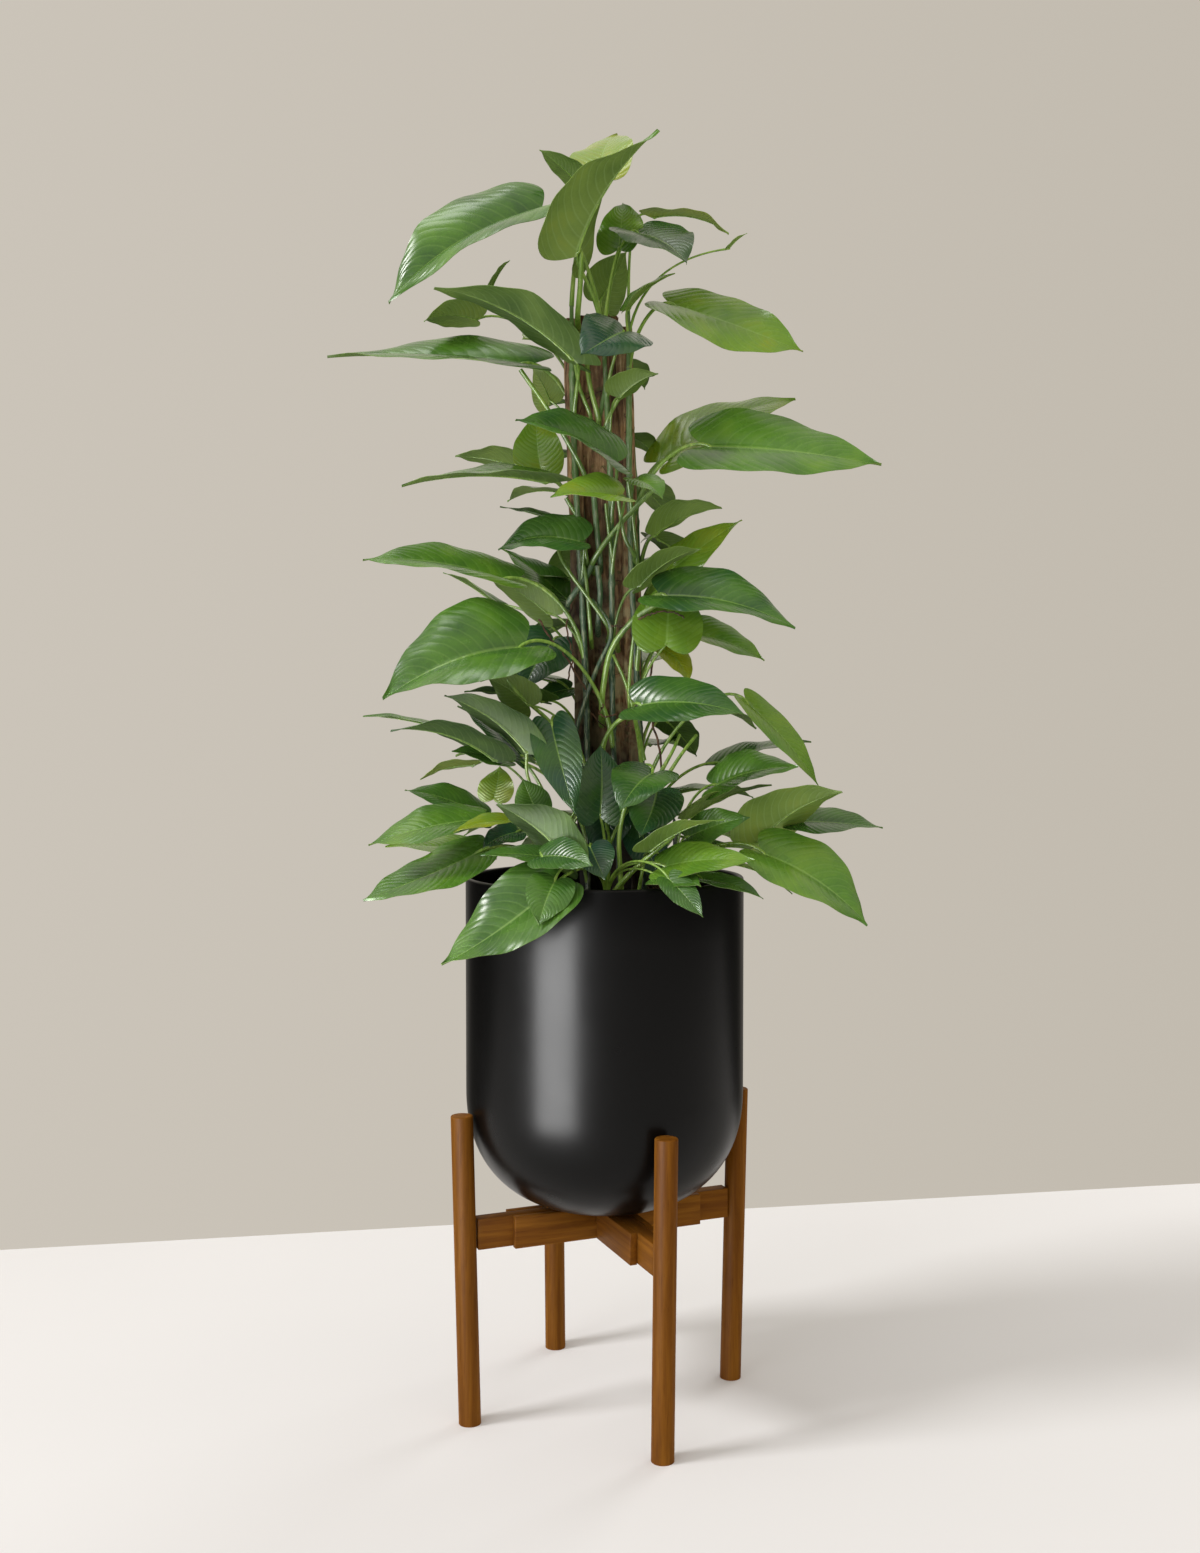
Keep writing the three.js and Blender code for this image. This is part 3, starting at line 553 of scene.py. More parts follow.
# Stems and leaf stalks: each vine climbs the pole with a ring at every joint, and from there each
# leaf stalk leaves in a sheath, rises and bends over at a thickened knee into the leaf's midrib.
# The stems are dull green, paler above, with light flecks, and thin brown roots feel for the bark.
WEAVE = 0.0025
WEAVE_HEIGHT = 0.09
# Each vine's place beside the pole and the height of its top.
VINES = {
    "left": (-0.031, -0.014, 1.205),
    "front": (0.002, -0.018, 1.165),
    "right": (0.027, -0.014, 1.195),
    "back_right": (0.030, 0.024, 1.150),
    "back": (0.004, 0.034, 1.200),
    "back_left": (-0.028, 0.024, 1.160),
    "base_left": (-0.070, -0.030, 0.640),
    "base_front": (-0.010, -0.080, 0.640),
    "base_right": (0.060, -0.040, 0.650),
    "base_back": (-0.010, 0.078, 0.640),
}


def stem_at(vine, height):
    """Where a vine's stem lies at a height, as it weaves a little round its own line."""
    x, y, _ = VINES[vine]
    phase = 1000 * (x + y)
    climb = (height - SOIL_TOP) / WEAVE_HEIGHT
    sway_x = WEAVE * math.sin(climb + phase)
    return Vector((pole_x(height) + x + sway_x, y + WEAVE * math.cos(1.3 * climb + phase), height))


# A leaf is a row: vine, blade base, tip and width in millimetres, how far the upper face is turned towards
# the viewer, the fold along the midrib, how far the midrib is arched, and the tone from 0, blue-green, to
# 1, yellow-green. The tone is partly the leaf's own colour and partly painted light: a leaf lit through
# from behind is given a paler yellow-green, and one deep in the plant's shade a darker blue-green. A leaf
# that faces another way says where to.
LEAVES = [
    ["front", [-70, -25, 1295], [-225, -75, 1190], 118, 32, 34, 0.1, 0.4],
    ["front", [-30, -48, 1244], [55, -90, 1360], 118, -5, 34, 0.1, 0.55],
    ["left", [-5, 0, 1345], [15, 95, 1424], 74, 0, 10, 0.06, 0.88],
    ["left", [-25, 5, 1335], [-70, -20, 1365], 36, -20, 25, 0.05, 0.5],
    ["front", [15, -5, 1265], [20, 45, 1330], 52, -25, 15, 0.05, 0.6],
    ["front", [35, -10, 1280], [85, -75, 1230], 84, 30, 18, 0.05, 0.2],
    ["back_right", [52, 40, 1313], [137, 27, 1292], 74, 16, 15, 0.1, 0.75],
    ["right", [135, 10, 1270], [155, 5, 1285], 15, 10, 30, 0.05, 0.5],
    ["back", [-5, 15, 1215], [25, 35, 1275], 58, -45, 12, 0.05, 0.5],
    ["right", [25, -25, 1195], [75, -35, 1230], 40, 20, 30, 0.08, 0.55],
    ["right", [72, -4, 1206], [210, -45, 1145], 98, 26, 8, 0.03, 0.7],
    ["back_left", [-140, 20, 1195], [-195, -15, 1185], 46, -30, 20, 0.1, 0.6],
    ["left", [-125, 35, 1235], [-105, 35, 1265], 22, 0, 30, 0.05, 0.6],
    ["left", [-30, -60, 1130], [-175, -92, 1200], 104, 0, 18, 0.1, 0.3],
    ["front", [20, -50, 1165], [-25, -135, 1120], 74, 70, 16, 0.06, 0.02],
    ["back_left", [-84, -15, 1138], [-300, -10, 1147], 92, 33, 24, 0.03, 0.4],
    ["back_left", [-45, 30, 1155], [-95, 105, 1195], 74, -10, 12, 0.06, 0.6],
    ["back_left", [-60, 15, 1105], [-80, 30, 1145], 40, -60, 10, 0.05, 0.65],
    ["front", [15, -55, 1095], [55, -80, 1115], 46, -10, 40, 0.08, 0.5],
    ["front", [10, -65, 1025], [-90, -120, 1060], 78, 45, 32, 0.06, 0.33],
    ["back_left", [-70, 15, 1030], [-75, 30, 1095], 56, 70, 10, 0.05, 0.8],
    ["back_left", [-95, 60, 1040], [-170, 75, 1055], 60, -20, 14, 0.06, 0.5],
    ["back_left", [-58, -12, 1012], [-215, -50, 1002], 84, 16, 24, 0.06, 0.45],
    ["front", [15, -90, 985], [-55, -130, 980], 54, 45, 32, 0.1, 0.75],
    ["right", [35, -45, 1010], [60, -85, 985], 40, 30, 18, 0.08, 0.5],
    ["left", [-25, -34, 945], [-115, -20, 940], 70, 38, 30, 0.1, 0.3],
    ["back_left", [-40, 20, 970], [-115, 11, 990], 46, 20, 14, 0.04, 0.15],
    ["back_right", [72, 35, 1044], [215, 55, 1115], 102, 26, 12, 0.1, 0.8],
    ["right", [108, -24, 1049], [290, -65, 1022], 114, 46, 16, 0.05, 0.45],
    ["back_right", [54, 8, 957], [130, 25, 990], 72, -18, 30, 0.1, 0.5],
    ["back_right", [55, 25, 908], [150, 5, 975], 64, 40, 12, 0.06, 0.75],
    ["front", [35, -60, 895], [100, -75, 935], 60, -10, 20, 0.08, 0.45],
    ["right", [60, -70, 885], [195, -110, 850], 84, 42, 30, 0.06, 0.3],
    ["right", [65, -50, 835], [70, -15, 905], 76, 60, 12, 0.06, 0.65],
    ["back_right", [80, 20, 850], [175, 0, 820], 62, 26, 30, 0.1, 0.6],
    ["right", [64, -4, 833], [91, -28, 795], 40, 20, 14, 0.1, 0.95],
    ["right", [35, -85, 770], [145, -125, 760], 74, 46, 18, 0.1, 0.3],
    ["right", [154, -27, 773], [229, -45, 685], 39, 30, 24, 0.08, 0.65],
    ["back_right", [70, 40, 755], [105, 60, 715], 60, -10, 12, 0.05, 0.25],
    ["base_right", [120, -25, 684], [205, -60, 706], 74, 36, 24, 0.08, 0.4],
    ["back_right", [130, 40, 705], [235, 60, 730], 60, 10, 14, 0.08, 0.3],
    ["base_right", [90, -45, 650], [180, -35, 685], 54, -20, 20, 0.08, 0.5],
    ["base_right", [160, -45, 620], [250, -70, 680], 86, -34, 30, 0.1, 0.6],
    ["base_right", [208, -8, 645], [300, -32, 640], 60, 30, 16, 0.03, 0.3],
    ["base_right", [165, -75, 615], [270, -115, 545], 90, 30, 24, 0.06, 0.52],
    ["base_right", [45, -115, 620], [120, -140, 655], 54, -15, 24, 0.08, 0.55],
    ["base_front", [60, -120, 605], [150, -155, 615], 54, 40, 14, 0.08, 0.6],
    ["base_front", [55, -130, 595], [95, -170, 590], 44, 36, 14, 0.05, 0.4],
    ["base_front", [64, -154, 596], [96, -188, 562], 32, 40, 16, 0.05, 0.3],
    ["base_right", [100, -100, 590], [160, -140, 575], 30, 20, 24, 0.08, 0.35],
    ["base_right", [125, -65, 605], [195, -95, 575], 36, -10, 20, 0.08, 0.5],
    ["base_left", [50, -95, 700], [15, -160, 665], 66, 30, 20, 0.08, 0.25],
    ["base_front", [-5, -90, 655], [-5, -63, 730], 58, 50, 12, 0.05, 0.15],
    ["base_front", [55, -60, 680], [35, -125, 635], 60, 60, 12, 0.05, 0.16],
    ["front", [-85, -80, 831], [-225, -130, 776], 132, 42, 30, 0.1, 0.4],
    ["back_left", [-56, 26, 845], [-88, 6, 790], 76, 40, 14, 0.06, 0.1],
    ["back_left", [-120, 65, 885], [-185, 85, 925], 34, 0, 30, 0.04, 0.4],
    ["left", [-105, -30, 905], [-255, -60, 925], 80, 26, 24, 0.05, 0.5],
    ["left", [-60, -5, 870], [-125, -20, 910], 48, -40, 16, 0.1, 0.5],
    ["back_left", [-42, 42, 890], [-116, 52, 948], 60, 26, 16, 0.06, 0.35],
    ["left", [-80, -95, 720], [-165, -110, 780], 66, -20, 30, 0.1, 0.12],
    ["base_left", [-150, 10, 735], [-265, 0, 760], 46, 0, 20, 0.05, 0.35],
    ["left", [-115, -45, 710], [-225, -70, 745], 78, -14, 24, 0.1, 0.12],
    ["base_left", [-145, 25, 705], [-205, 20, 690], 40, -10, 18, 0.08, 0.75],
    ["base_left", [-135, -10, 650], [-215, -35, 680], 58, 30, 16, 0.06, 0.3],
    ["base_left", [-135, -66, 650], [-245, -98, 625], 72, 20, 16, 0.06, 0.48],
    ["left", [-100, -85, 650], [-155, -115, 640], 32, 20, 20, 0.06, 0.9],
    ["base_left", [-135, -10, 610], [-235, -45, 620], 60, 25, 8, 0.03, 0.62],
    ["base_left", [-135, -65, 615], [-250, -105, 570], 80, 22, 8, 0, 0.44],
    ["left", [-55, -95, 750], [-30, -135, 660], 50, 80, 16, 0.06, 0.13],
    ["base_front", [-35, -145, 610], [-110, -130, 670], 72, -38, 30, 0.1, 0.15],
    ["base_front", [-64, -150, 618], [-12, -185, 612], 46, 42, 18, 0.06, 0.3],
    ["base_front", [-50, -150, 590], [-160, -190, 515], 92, 40, 24, 0, 0.4],
    ["base_front", [-50, -165, 595], [-65, -200, 555], 48, 60, 14, 0.05, 0.35],
    ["base_front", [-60, -120, 615], [-125, -145, 620], 36, 30, 14, 0.06, 0.4],
    ["base_left", [-95, -40, 635], [-130, -60, 620], 40, 30, 14, 0.06, 0.1],
    ["base_left", [-120, -20, 670], [-115, 0, 705], 40, 40, 12, 0.05, 0.8],
    ["base_front", [-70, -105, 660], [-85, -100, 695], 40, 40, 12, 0.05, 0.4],
    ["left", [-90, -20, 715], [-160, -20, 770], 70, 20, 14, 0.06, 0.15],
    ["back_left", [-65, -20, 775], [-150, -45, 785], 56, -10, 16, 0.06, 0.15],
    ["left", [-80, -60, 770], [-125, -65, 800], 50, -50, 12, 0.06, 0.5],
    ["base_front", [-15, -120, 625], [0, -150, 595], 44, 40, 14, 0.05, 0.1],
    ["base_right", [88, -70, 632], [150, -95, 655], 50, 40, 14, 0.06, 0.35],
    ["base_left", [8, -46, 682], [-10, -62, 606], 58, 70, 14, 0.06, 0.05],
    ["base_right", [38, -44, 640], [60, -64, 582], 46, 65, 14, 0.06, 0.08],
    ["back_left", [-38, 28, 790], [-80, 20, 775], 40, 35, 14, 0.06, 0.2],
    ["left", [-105, -20, 712], [-165, -30, 722], 44, 30, 14, 0.06, 0.45],
    ["base_back", [0, 108, 640], [0, 200, 622], 54, 30, 14, 0.08, 0.5, (0, 1)],
]

# Round the back the leaves stand each a little higher than the last and point well away from it.
# The higher ones are smaller and keep behind the pole, and a lower ring hangs out over the rim.
BACK_LEAVES = 28
BACK_TURNS = [30, 96, 150, 60, 122, 22, 84, 160, 46, 108, 136]
BACK_ASTRAY = 5
BACK_GATHERED = 0.6
BACK_LOW = 678
BACK_HIGH = 1160
BACK_UNEVEN = 7
BACK_LENGTH = (84, 138)
BACK_SHORTER = 32
BACK_REACH = (56, 82)
BACK_DROOP = (-4, 20)
BACK_DROOP_MORE = 22
BACK_MIDDLE = (72, 108)
SKIRT_LEAVES = 8
SKIRT_FROM = 18
SKIRT_TO = 162
SKIRT_LOW = 612
SKIRT_STEP = 15
SKIRT_UNEVEN = 4
SKIRT_LENGTH = (78, 96)
SKIRT_REACH = (100, 112)
SKIRT_DROOP = (8, 16)
LENGTH_TO_WIDTH = 0.6
OUTWARD_LEAN = 30
OUTWARD_FOLD = 14
OUTWARD_ARCH = 0.08
TONE_SPREAD = 0.3
CHANCE_FACTOR = 16807
CHANCE_RANGE = 2147483647
chance = 5011


def draw(low, high):
    """The next of a fixed row of draws between two values, the same as in the CAD source."""
    global chance
    chance = (chance * CHANCE_FACTOR) % CHANCE_RANGE
    return low + (high - low) * chance / CHANCE_RANGE


def varied_tone(number, least):
    """A tone that differs from one leaf to the next."""
    return least + TONE_SPREAD * (number * 5 % 7) / 7


def outward_leaf(vine, turn, height, reach, length, droop, tone):
    """The row of a leaf that points away from the pole at a turn round it."""
    angle = math.radians(turn)
    out = (math.cos(angle), math.sin(angle))
    fall = math.radians(droop)
    middle = 1000 * pole_x(height / 1000)
    far = reach + length * math.cos(fall)
    base = [middle + out[0] * reach, out[1] * reach, height]
    tip = [middle + out[0] * far, out[1] * far, height - length * math.sin(fall)]
    return [vine, base, tip, LENGTH_TO_WIDTH * length, OUTWARD_LEAN, OUTWARD_FOLD, OUTWARD_ARCH, tone, out]


for k in range(BACK_LEAVES):
    share = k / (BACK_LEAVES - 1)
    spread = 1 - BACK_GATHERED * share
    turn = 90 + (BACK_TURNS[k % len(BACK_TURNS)] - 90) * spread + draw(-BACK_ASTRAY, BACK_ASTRAY)
    height = BACK_LOW + (BACK_HIGH - BACK_LOW) * share + draw(-BACK_UNEVEN, BACK_UNEVEN)
    length = draw(*BACK_LENGTH) - BACK_SHORTER * share
    droop = draw(BACK_DROOP[0], BACK_DROOP[1] + BACK_DROOP_MORE * share)
    reach = draw(*BACK_REACH)
    vine = "back_right" if turn < BACK_MIDDLE[0] else "back_left" if turn > BACK_MIDDLE[1] else "back"
    LEAVES.append(outward_leaf(vine, turn, height, reach, length, droop, varied_tone(k, 0.3)))
for k in range(SKIRT_LEAVES + 1):
    if 2 * k == SKIRT_LEAVES:
        continue
    turn = SKIRT_FROM + (SKIRT_TO - SKIRT_FROM) * k / SKIRT_LEAVES
    height = SKIRT_LOW + SKIRT_STEP * (k % 3) + draw(0, SKIRT_UNEVEN)
    length = draw(*SKIRT_LENGTH)
    reach = draw(*SKIRT_REACH)
    droop = draw(*SKIRT_DROOP)
    LEAVES.append(outward_leaf("base_back", turn, height, reach, length, droop, varied_tone(k, 0.25)))

# A blade is widest a quarter of the way along and ends in a drawn-out tip. Its edge waves, and is
# crimped more finely. Sizes are shares of its length or width, and the runs of the wave and the
# crimp along the edge are in radians.
WIDEST = 0.27
BASE_SHARE = 0.5
LOBE = 0.13
FLARE = 0.55
DRIP = 0.5
DRIP_FROM = 0.78
EDGE_WAVE = 0.03
EDGE_WAVE_RUN = 9
CRIMP = 0.011
CRIMP_RUN = 23
ROOT_AT = 0.04
# No two leaves are bent alike: the midrib bows to one side by a share of its length, and the blade
# twists about it by some degrees at the tip. The leaves that show most have their own bend.
BOW = 0.035
TWIST = 12
OWN_BENDS = {
    0: (-0.02, -8),
    1: (0.0, 42),
    10: (0.05, 40),
    13: (0.04, 10),
    15: (0.0, 14),
    28: (0.025, -4),
    30: (0.06, 0),
    54: (0.0, 6),
    72: (-0.04, 12),
}


def half_width(t):
    """How wide a blade is at a share of its length, against its widest."""
    if t < WIDEST:
        return BASE_SHARE + (1 - BASE_SHARE) * math.sqrt(1 - (1 - t / WIDEST) ** 2)
    beyond = (t - WIDEST) / (1 - WIDEST)
    point = max(0.0, (beyond - DRIP_FROM) / (1 - DRIP_FROM))
    drip = 1 - DRIP * point * point * (3 - 2 * point)
    return max(0.0, math.cos(math.pi / 2 * beyond)) * drip


class Blade:
    """Where each point of one leaf lies: t runs from its base to its tip, w from edge to edge."""

    def __init__(self, leaf, number):
        _, base, tip, width, lean, fold, arch, self.tone = leaf[:8]
        out = leaf[8] if len(leaf) > 8 else (0, -1)
        self.number = number
        self.base = Vector(base) / 1000
        self.along = Vector(tip) / 1000 - self.base
        self.length = self.along.length
        self.along.normalize()
        turned = math.radians(lean)
        face = Vector((out[0] * math.sin(turned), out[1] * math.sin(turned), math.cos(turned)))
        self.face = (face - self.along * face.dot(self.along)).normalized()
        self.across = self.along.cross(self.face)
        self.width = width / 1000
        self.rise = math.tan(math.radians(fold))
        self.arch = arch
        usual = (BOW * math.sin(2.1 * number), TWIST * math.sin(1.7 * number + 1))
        self.bow, self.twist = OWN_BENDS.get(number, usual)

    def at(self, t, w, finely=True):
        """The point at a share of the length and of the half width, finely with the edge's crimp."""
        half = self.width / 2 * half_width(t)
        size = abs(w)
        side = 2 if w > 0 else 0
        middling = 4 * t * (1 - t)
        back = LOBE * size * (2 - size) * (1 - t) ** 3
        folded = self.rise * half * size * (1 - FLARE * size)
        waved = EDGE_WAVE * self.width * w * size * math.sin(EDGE_WAVE_RUN * t + self.number + side)
        if finely:
            crimp = math.sin(CRIMP_RUN * t + 1.7 * self.number + 3 * side) * size**3
            waved += CRIMP * self.width * crimp * min(1.0, 6 * (1 - t))
        turn = math.radians(self.twist) * t
        raised = folded + waved
        bowed = self.bow * self.length * middling
        arched = self.arch * self.length * middling
        sideways = bowed + half * w * math.cos(turn) + raised * math.sin(turn)
        upwards = arched + raised * math.cos(turn) - half * w * math.sin(turn)
        onwards = self.length * (t - back)
        return self.base + self.along * onwards + self.across * sideways + self.face * upwards


# A stem thins towards its tender tip and swells to a ring at each joint. Every vine has its joints
# at heights of its own.
STEM_RADIUS = 0.0036
STEM_STEP = 0.0045
STEM_SUNK = 0.03
TENDER_TIP = 0.08
TENDER_THINS = 0.35
JOINT_EVERY = 0.052
JOINT_SHIFT = 0.017
JOINT_WIDTH = 0.07
JOINT_RING = 0.26
BETWEEN_JOINTS = 0.92
ROOTS_APART = 0.03
ROOTS_LOWEST = 0.01


def climbing_stem(vine, top):
    """Points and radii of a vine's stem, and the joints above the soil from which roots grow."""
    low = SOIL_TOP - STEM_SUNK
    steps = round((top - low) / STEM_STEP)
    heights = [low + (top - low) * k / steps for k in range(steps + 1)]
    radii = []
    joints = []
    for height in heights:
        along_joint = ((height + JOINT_SHIFT * len(vine)) / JOINT_EVERY) % 1.0
        ring = math.exp(-((min(along_joint, 1 - along_joint) / JOINT_WIDTH) ** 2))
        tender = 1 - TENDER_THINS * max(0.0, (height - (top - TENDER_TIP)) / TENDER_TIP)
        radii.append(STEM_RADIUS * tender * (BETWEEN_JOINTS + JOINT_RING * ring))
        apart = not joints or height - joints[-1].z > ROOTS_APART
        if ring > 0.9 and apart and height > SOIL_TOP + ROOTS_LOWEST:
            joints.append(stem_at(vine, height))
    radii[-1] *= 0.5
    return [stem_at(vine, height) for height in heights], radii, joints


# A stalk leaves its stem lower than its blade, the lower the further it reaches. Its radius and
# that of the rib under the blade are in millimetres, and so is how much the sheath and the knee
# add. Where these lie is a share of the stalk's length.
MM = 0.001
STALK_DROP = 0.55
STALK_LEAST_DROP = 0.040
STALK_HIGHEST = 0.004
STALK_LOWEST = 0.012
STALK_STEPS = 18
STALK_RADIUS = 2.0
STALK_THINS = 0.3
SHEATH = 1.0
SHEATH_TO = 0.35
KNEE = 0.35
KNEE_AT = 0.94
KNEE_WIDTH = 0.05
RIB_RADIUS = 1.15
RIB_LEAST = 0.12
RIB_STOPS = (0.07, 0.12, 0.2, 0.3, 0.42, 0.55, 0.7, 0.84)


def leaf_stalk(vine, top, blade):
    """Points and radii of a leaf's stalk, from its sheath to its knee and on under the midrib."""
    root = blade.at(ROOT_AT, 0, False)
    near = stem_at(vine, root.z)
    reach = math.hypot(root.x - near.x, root.y - near.y)
    wanted = root.z - STALK_DROP * reach - STALK_LEAST_DROP
    start = stem_at(vine, min(top - STALK_HIGHEST, max(SOIL_TOP + STALK_LOWEST, wanted)))
    apart = (root - start).length
    first_bend = start + Vector((0, 0, 0.45 * apart)) + (root - start) * 0.1
    last_bend = root - blade.along * 0.22 * apart + Vector((0, 0, 0.12 * apart))
    slim = min(1.05, 0.5 + blade.length / 0.28)
    points = []
    radii = []
    for k in range(STALK_STEPS + 1):
        share = k / STALK_STEPS
        left = 1 - share
        point = start * left**3 + first_bend * 3 * share * left**2
        point += last_bend * 3 * share**2 * left + root * share**3
        points.append(point - blade.face * 0.0012 * share)
        sheath = SHEATH * max(0.0, 1 - share / SHEATH_TO)
        knee = KNEE * math.exp(-(((share - KNEE_AT) / KNEE_WIDTH) ** 2))
        radii.append(MM * slim * (STALK_RADIUS + sheath + knee - STALK_THINS * share))
    for t in RIB_STOPS:
        radius = MM * slim * (RIB_RADIUS * (1 - t) ** 1.3 + RIB_LEAST)
        points.append(blade.at(t, 0) - blade.face * (0.0002 + 0.55 * radius))
        radii.append(radius)
    radii[-1] *= 0.4
    return points, radii


ROOT_LENGTH = (0.018, 0.060)
ROOT_RADIUS = (0.0006, 0.0011)
ROOT_STEPS = 9
ROOT_WANDER = 0.42
ROOT_SINK = Vector((0, 0, -0.12))


def bark_roots(starts):
    """Thin roots that leave a climbing stem at its joints and wander over the bark."""
    made = []
    for start in starts:
        length = draws.uniform(*ROOT_LENGTH)
        heading = Vector((pole_x(start.z) - start.x, 0.008 - start.y, 0)).normalized()
        astray = Vector((draws.uniform(-0.7, 0.7), draws.uniform(-0.5, 0.5), draws.uniform(-0.9, 0.2)))
        heading = (heading + astray).normalized()
        points = [start.copy()]
        for _ in range(ROOT_STEPS):
            wander = Vector(draws.uniform(-ROOT_WANDER, ROOT_WANDER, 3))
            heading = (heading + wander + ROOT_SINK).normalized()
            points.append(points[-1] + heading * length / ROOT_STEPS)
        made.append(points)
    return made


# A vine's lines hold their three skins in this order.
STEM, STALK, ROOT = 0, 1, 2
# What crosses the pole in front: climbing stems, the stalks of leaves that hang elsewhere, and
# loose roots, each with its radius and the places that it passes, in millimetres. They are part
# of the front vine's piece.
CROSSINGS = [
    (STALK, 2.6, [(-20, -20, 1148), (-16, -24, 1115), (-7, -20, 1081), (-7, 10, 1071)]),
    (STALK, 2.0, [(-32, -16, 1141), (-27, -19, 1113), (-16, -18, 1085), (-15, 10, 1076)]),
    (STALK, 2.4, [(-90, -34, 1129), (-59, -30, 1085), (-41, -24, 1056), (-22, -18, 1021), (-22, 10, 1010)]),
    (STALK, 2.2, [(20, -28, 1107), (9, -24, 1090), (1, -18, 1072), (1, 10, 1062)]),
    (STALK, 2.0, [(14, -44, 991), (21, -34, 952), (32, -22, 932), (30, 10, 920)]),
    (STALK, 2.2, [(-42, -12, 996), (-27, -14, 968), (-19, -14, 927), (-19, 10, 914)]),
    (STALK, 2.8, [(-25, -44, 1250), (-26, -40, 1217), (-29, -30, 1185), (-28, 10, 1180)]),
    (STALK, 2.0, [(25, -36, 1010), (30, -28, 972), (35, -18, 929), (34, 10, 916)]),
    (STALK, 1.8, [(1, -26, 988), (4, -26, 960), (8, -20, 928), (7, 10, 916)]),
    (STALK, 2.0, [
        (-53, -6, 956), (-48, -18, 933), (-37, -26, 913),
        (-18, -28, 887), (4, -24, 855), (3, 10, 841),
    ]),
    (STALK, 2.0, [(-29, -12, 951), (-21, -22, 913), (-18, -26, 883), (-15, -22, 848), (-14, 10, 835)]),
    (STALK, 2.6, [(51, -34, 1001), (16, -30, 965), (-12, -22, 928), (-11, 10, 916)]),
    (STALK, 2.2, [(63, -40, 885), (38, -36, 872), (15, -28, 844), (15, 10, 831)]),
    (STEM, 3.2, [(-12, -14, 1004), (-9, -17, 966), (-5, -15, 929), (-5, 10, 916)]),
    (STEM, 3.2, [(-9, -15, 933), (-22, -18, 907), (-39, -15, 883), (-37, 10, 870)]),
    (STEM, 3.2, [(-8, -18, 922), (-5, -20, 894), (-7, -16, 862), (-7, 10, 848)]),
    (STEM, 2.8, [(4, -14, 1127), (-1, -16, 1103), (-7, -13, 1075), (-7, 10, 1065)]),
    (STEM, 2.4, [
        (-14, -24, 885), (4, -26, 861), (6, -26, 842), (-8, -24, 812),
        (-21, -22, 777), (-33, -18, 736), (-32, 10, 720),
    ]),
    (STALK, 3.0, [
        (63, -50, 883), (31, -44, 862), (7, -36, 831),
        (-2, -24, 788), (-3, -16, 764), (-3, 10, 749),
    ]),
    (STALK, 1.8, [(33, -46, 862), (28, -40, 820), (26, -32, 788), (27, -22, 766), (26, 10, 751)]),
    (STALK, 1.8, [(9, -24, 826), (23, -28, 794), (34, -28, 753), (43, -22, 712)]),
    (STALK, 2.0, [(-110, -66, 810), (-93, -62, 785), (-58, -50, 753), (-42, -36, 726)]),
    (STALK, 2.4, [(35, -62, 764), (14, -52, 754), (1, -40, 736), (-4, -28, 715)]),
    (STALK, 1.8, [(100, -10, 739), (83, -30, 719), (63, -36, 689)]),
    (STALK, 1.8, [(82, -6, 739), (74, -24, 723), (61, -30, 700)]),
    (STALK, 2.2, [(47, -96, 693), (24, -100, 673), (15, -98, 636), (16, -92, 601), (18, -86, 563)]),
    (STALK, 2.2, [(-1, -46, 657), (3, -66, 639), (4, -82, 624), (3, -84, 594), (2, -80, 562)]),
    (STALK, 2.6, [(71, -112, 638), (51, -108, 620), (26, -98, 596), (1, -86, 565)]),
    (STALK, 1.8, [(41, -104, 613), (37, -98, 590), (33, -88, 561)]),
    (STALK, 1.8, [(-82, -80, 722), (-81, -78, 697), (-70, -70, 671), (-56, -60, 643)]),
    (ROOT, 0.9, [(35, -48, 862), (46, -50, 867), (56, -52, 870), (71, -52, 870), (84, -50, 864)]),
    (ROOT, 0.9, [(-13, -26, 788), (-2, -28, 773), (-6, -28, 764), (1, -28, 759), (14, -28, 762)]),
    (ROOT, 1.2, [(51, -26, 820), (49, -28, 788), (51, -28, 756), (58, -28, 729), (62, -26, 699)]),
    (ROOT, 1.1, [(-70, -50, 862), (-57, -46, 841), (-41, -40, 822), (-20, -26, 788)]),
    (ROOT, 0.8, [(8, -30, 857), (19, -32, 856), (29, -32, 861), (38, -30, 859)]),
    (ROOT, 0.9, [(-35, -14, 886), (-41, -16, 853), (-35, -16, 826), (-40, -14, 799)]),
    (ROOT, 0.8, [(21, -12, 1086), (26, -14, 1077), (22, -12, 1067)]),
]
CROSSING_STEPS = 7
CROSSING_SWELL = 0.35
CROSSING_ROUGH = 0.001


def through(marks, steps):
    """Points of a smooth line through the marks."""
    ends = [2 * marks[0] - marks[1], *marks, 2 * marks[-1] - marks[-2]]
    points = []
    for before, first, second, after in zip(ends, ends[1:], ends[2:], ends[3:]):
        for k in range(steps):
            s = k / steps
            curved = 2 * before - 5 * first + 4 * second - after
            cubic = 3 * first - before - 3 * second + after
            points.append(0.5 * (2 * first + (second - before) * s + curved * s * s + cubic * s**3))
    return [*points, marks[-1]]


def add_line(lines, points, radii, skin):
    """Adds a round line to a vine's lines, in one of the three skins."""
    spline = lines.splines.new("POLY")
    spline.points.add(len(points) - 1)
    for knot, point, radius in zip(spline.points, points, radii):
        knot.co = (*point, 1)
        knot.radius = radius
    spline.material_index = skin
    spline.use_smooth = True


